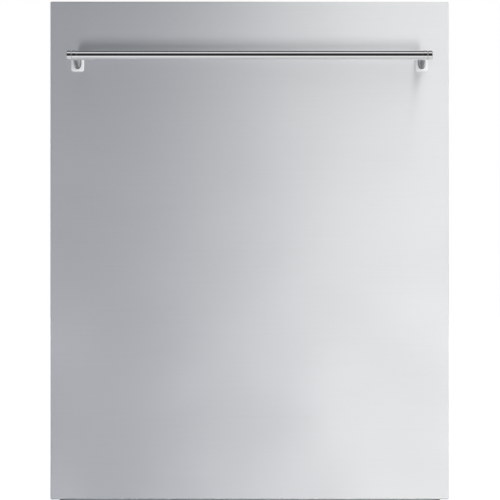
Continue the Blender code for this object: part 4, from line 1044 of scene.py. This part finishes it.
LIGHT_STRENGTH = 1.3
HIGH_SPAN = (-0.20, 0.26)
HIGH_TINTS = ((0.25, 0.256, 0.277), (0.96, 0.963, 0.970))
HIGH_LEVELS = [
    (-180, 0.70),
    (-90, 0.40),
    (-40, 0.04),
    (-12, 0.10),
    (6, 0.74),
    (20, 1.05),
    (60, 1.25),
    (90, 1.30),
    (180, 0.75),
]
STRIP_SPAN = (-0.20, 0.20)
STRIP_TINTS = ((0.37, 0.376, 0.402), (0.52, 0.523, 0.527))
STRIP_LEVELS = [
    (-180, 0.0),
    (-33, 0.0),
    (-29, 5.6),
    (-15, 5.6),
    (-11, 0.0),
    (180, 0.0),
]
MIRROR_TINTS = ((0.92, 0.93, 0.95), (1.0, 1.0, 1.0))
MIRROR_LEVELS = [
    (-180, 0.20),
    (-120, 0.35),
    (-100, 0.50),
    (-55, 0.46),
    (-48, 0.64),
    (-28, 0.64),
    (-18, 0.08),
    (-6, 0.01),
    (25, 0.01),
    (32, 0.18),
    (50, 0.20),
    (58, 0.75),
    (76, 0.60),
    (84, 0.02),
    (130, 0.03),
    (180, 0.30),
]


def floor():
    """Pale floor that keeps a soft contact shadow."""
    bm = bmesh.new()
    bmesh.ops.create_grid(bm, x_segments=8, y_segments=8, size=9)
    mesh = bpy.data.meshes.new("floor")
    bm.to_mesh(mesh)
    bm.free()
    obj = bpy.data.objects.new("floor", mesh)
    LOOKS.objects.link(obj)
    finish = Finish("floor_paint").set(Roughness=0.9, Emission_Color=(1, 1, 1, 1), Emission_Strength=0.42)
    finish.tinted(finish.noise(0.4), (0.86, 0.86, 0.86), (0.88, 0.88, 0.88))
    mesh.materials.append(finish.material)
    obj.visible_glossy = False


def camera():
    """Straight at the front, from as far back as a long lens needs to fill the frame with it."""
    panel_low, panel_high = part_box("front_panel")
    distance, framed_width, sensor = 2.45, 0.7478, 36.0
    lens = bpy.data.cameras.new("camera")
    lens.sensor_width = sensor
    lens.lens = sensor * distance / framed_width
    lens.clip_end = 60
    obj = bpy.data.objects.new("camera", lens)
    centre = (panel_low + panel_high) / 2
    obj.location = (centre.x + 0.0006, panel_low.y - distance, centre.z + 0.0007)
    obj.rotation_euler = (math.pi / 2, 0, 0)
    LOOKS.objects.link(obj)
    bpy.context.scene.camera = obj


def main():
    bpy.context.scene.view_settings.view_transform = "Standard"
    camera()
    floor()
    world_light()
    finish_cad_nodes()
    front_panel()
    handle_bar()
    for side, sign in SIDES:
        bar_cap(side, sign)
        handle_post(side)
    inside()


main()
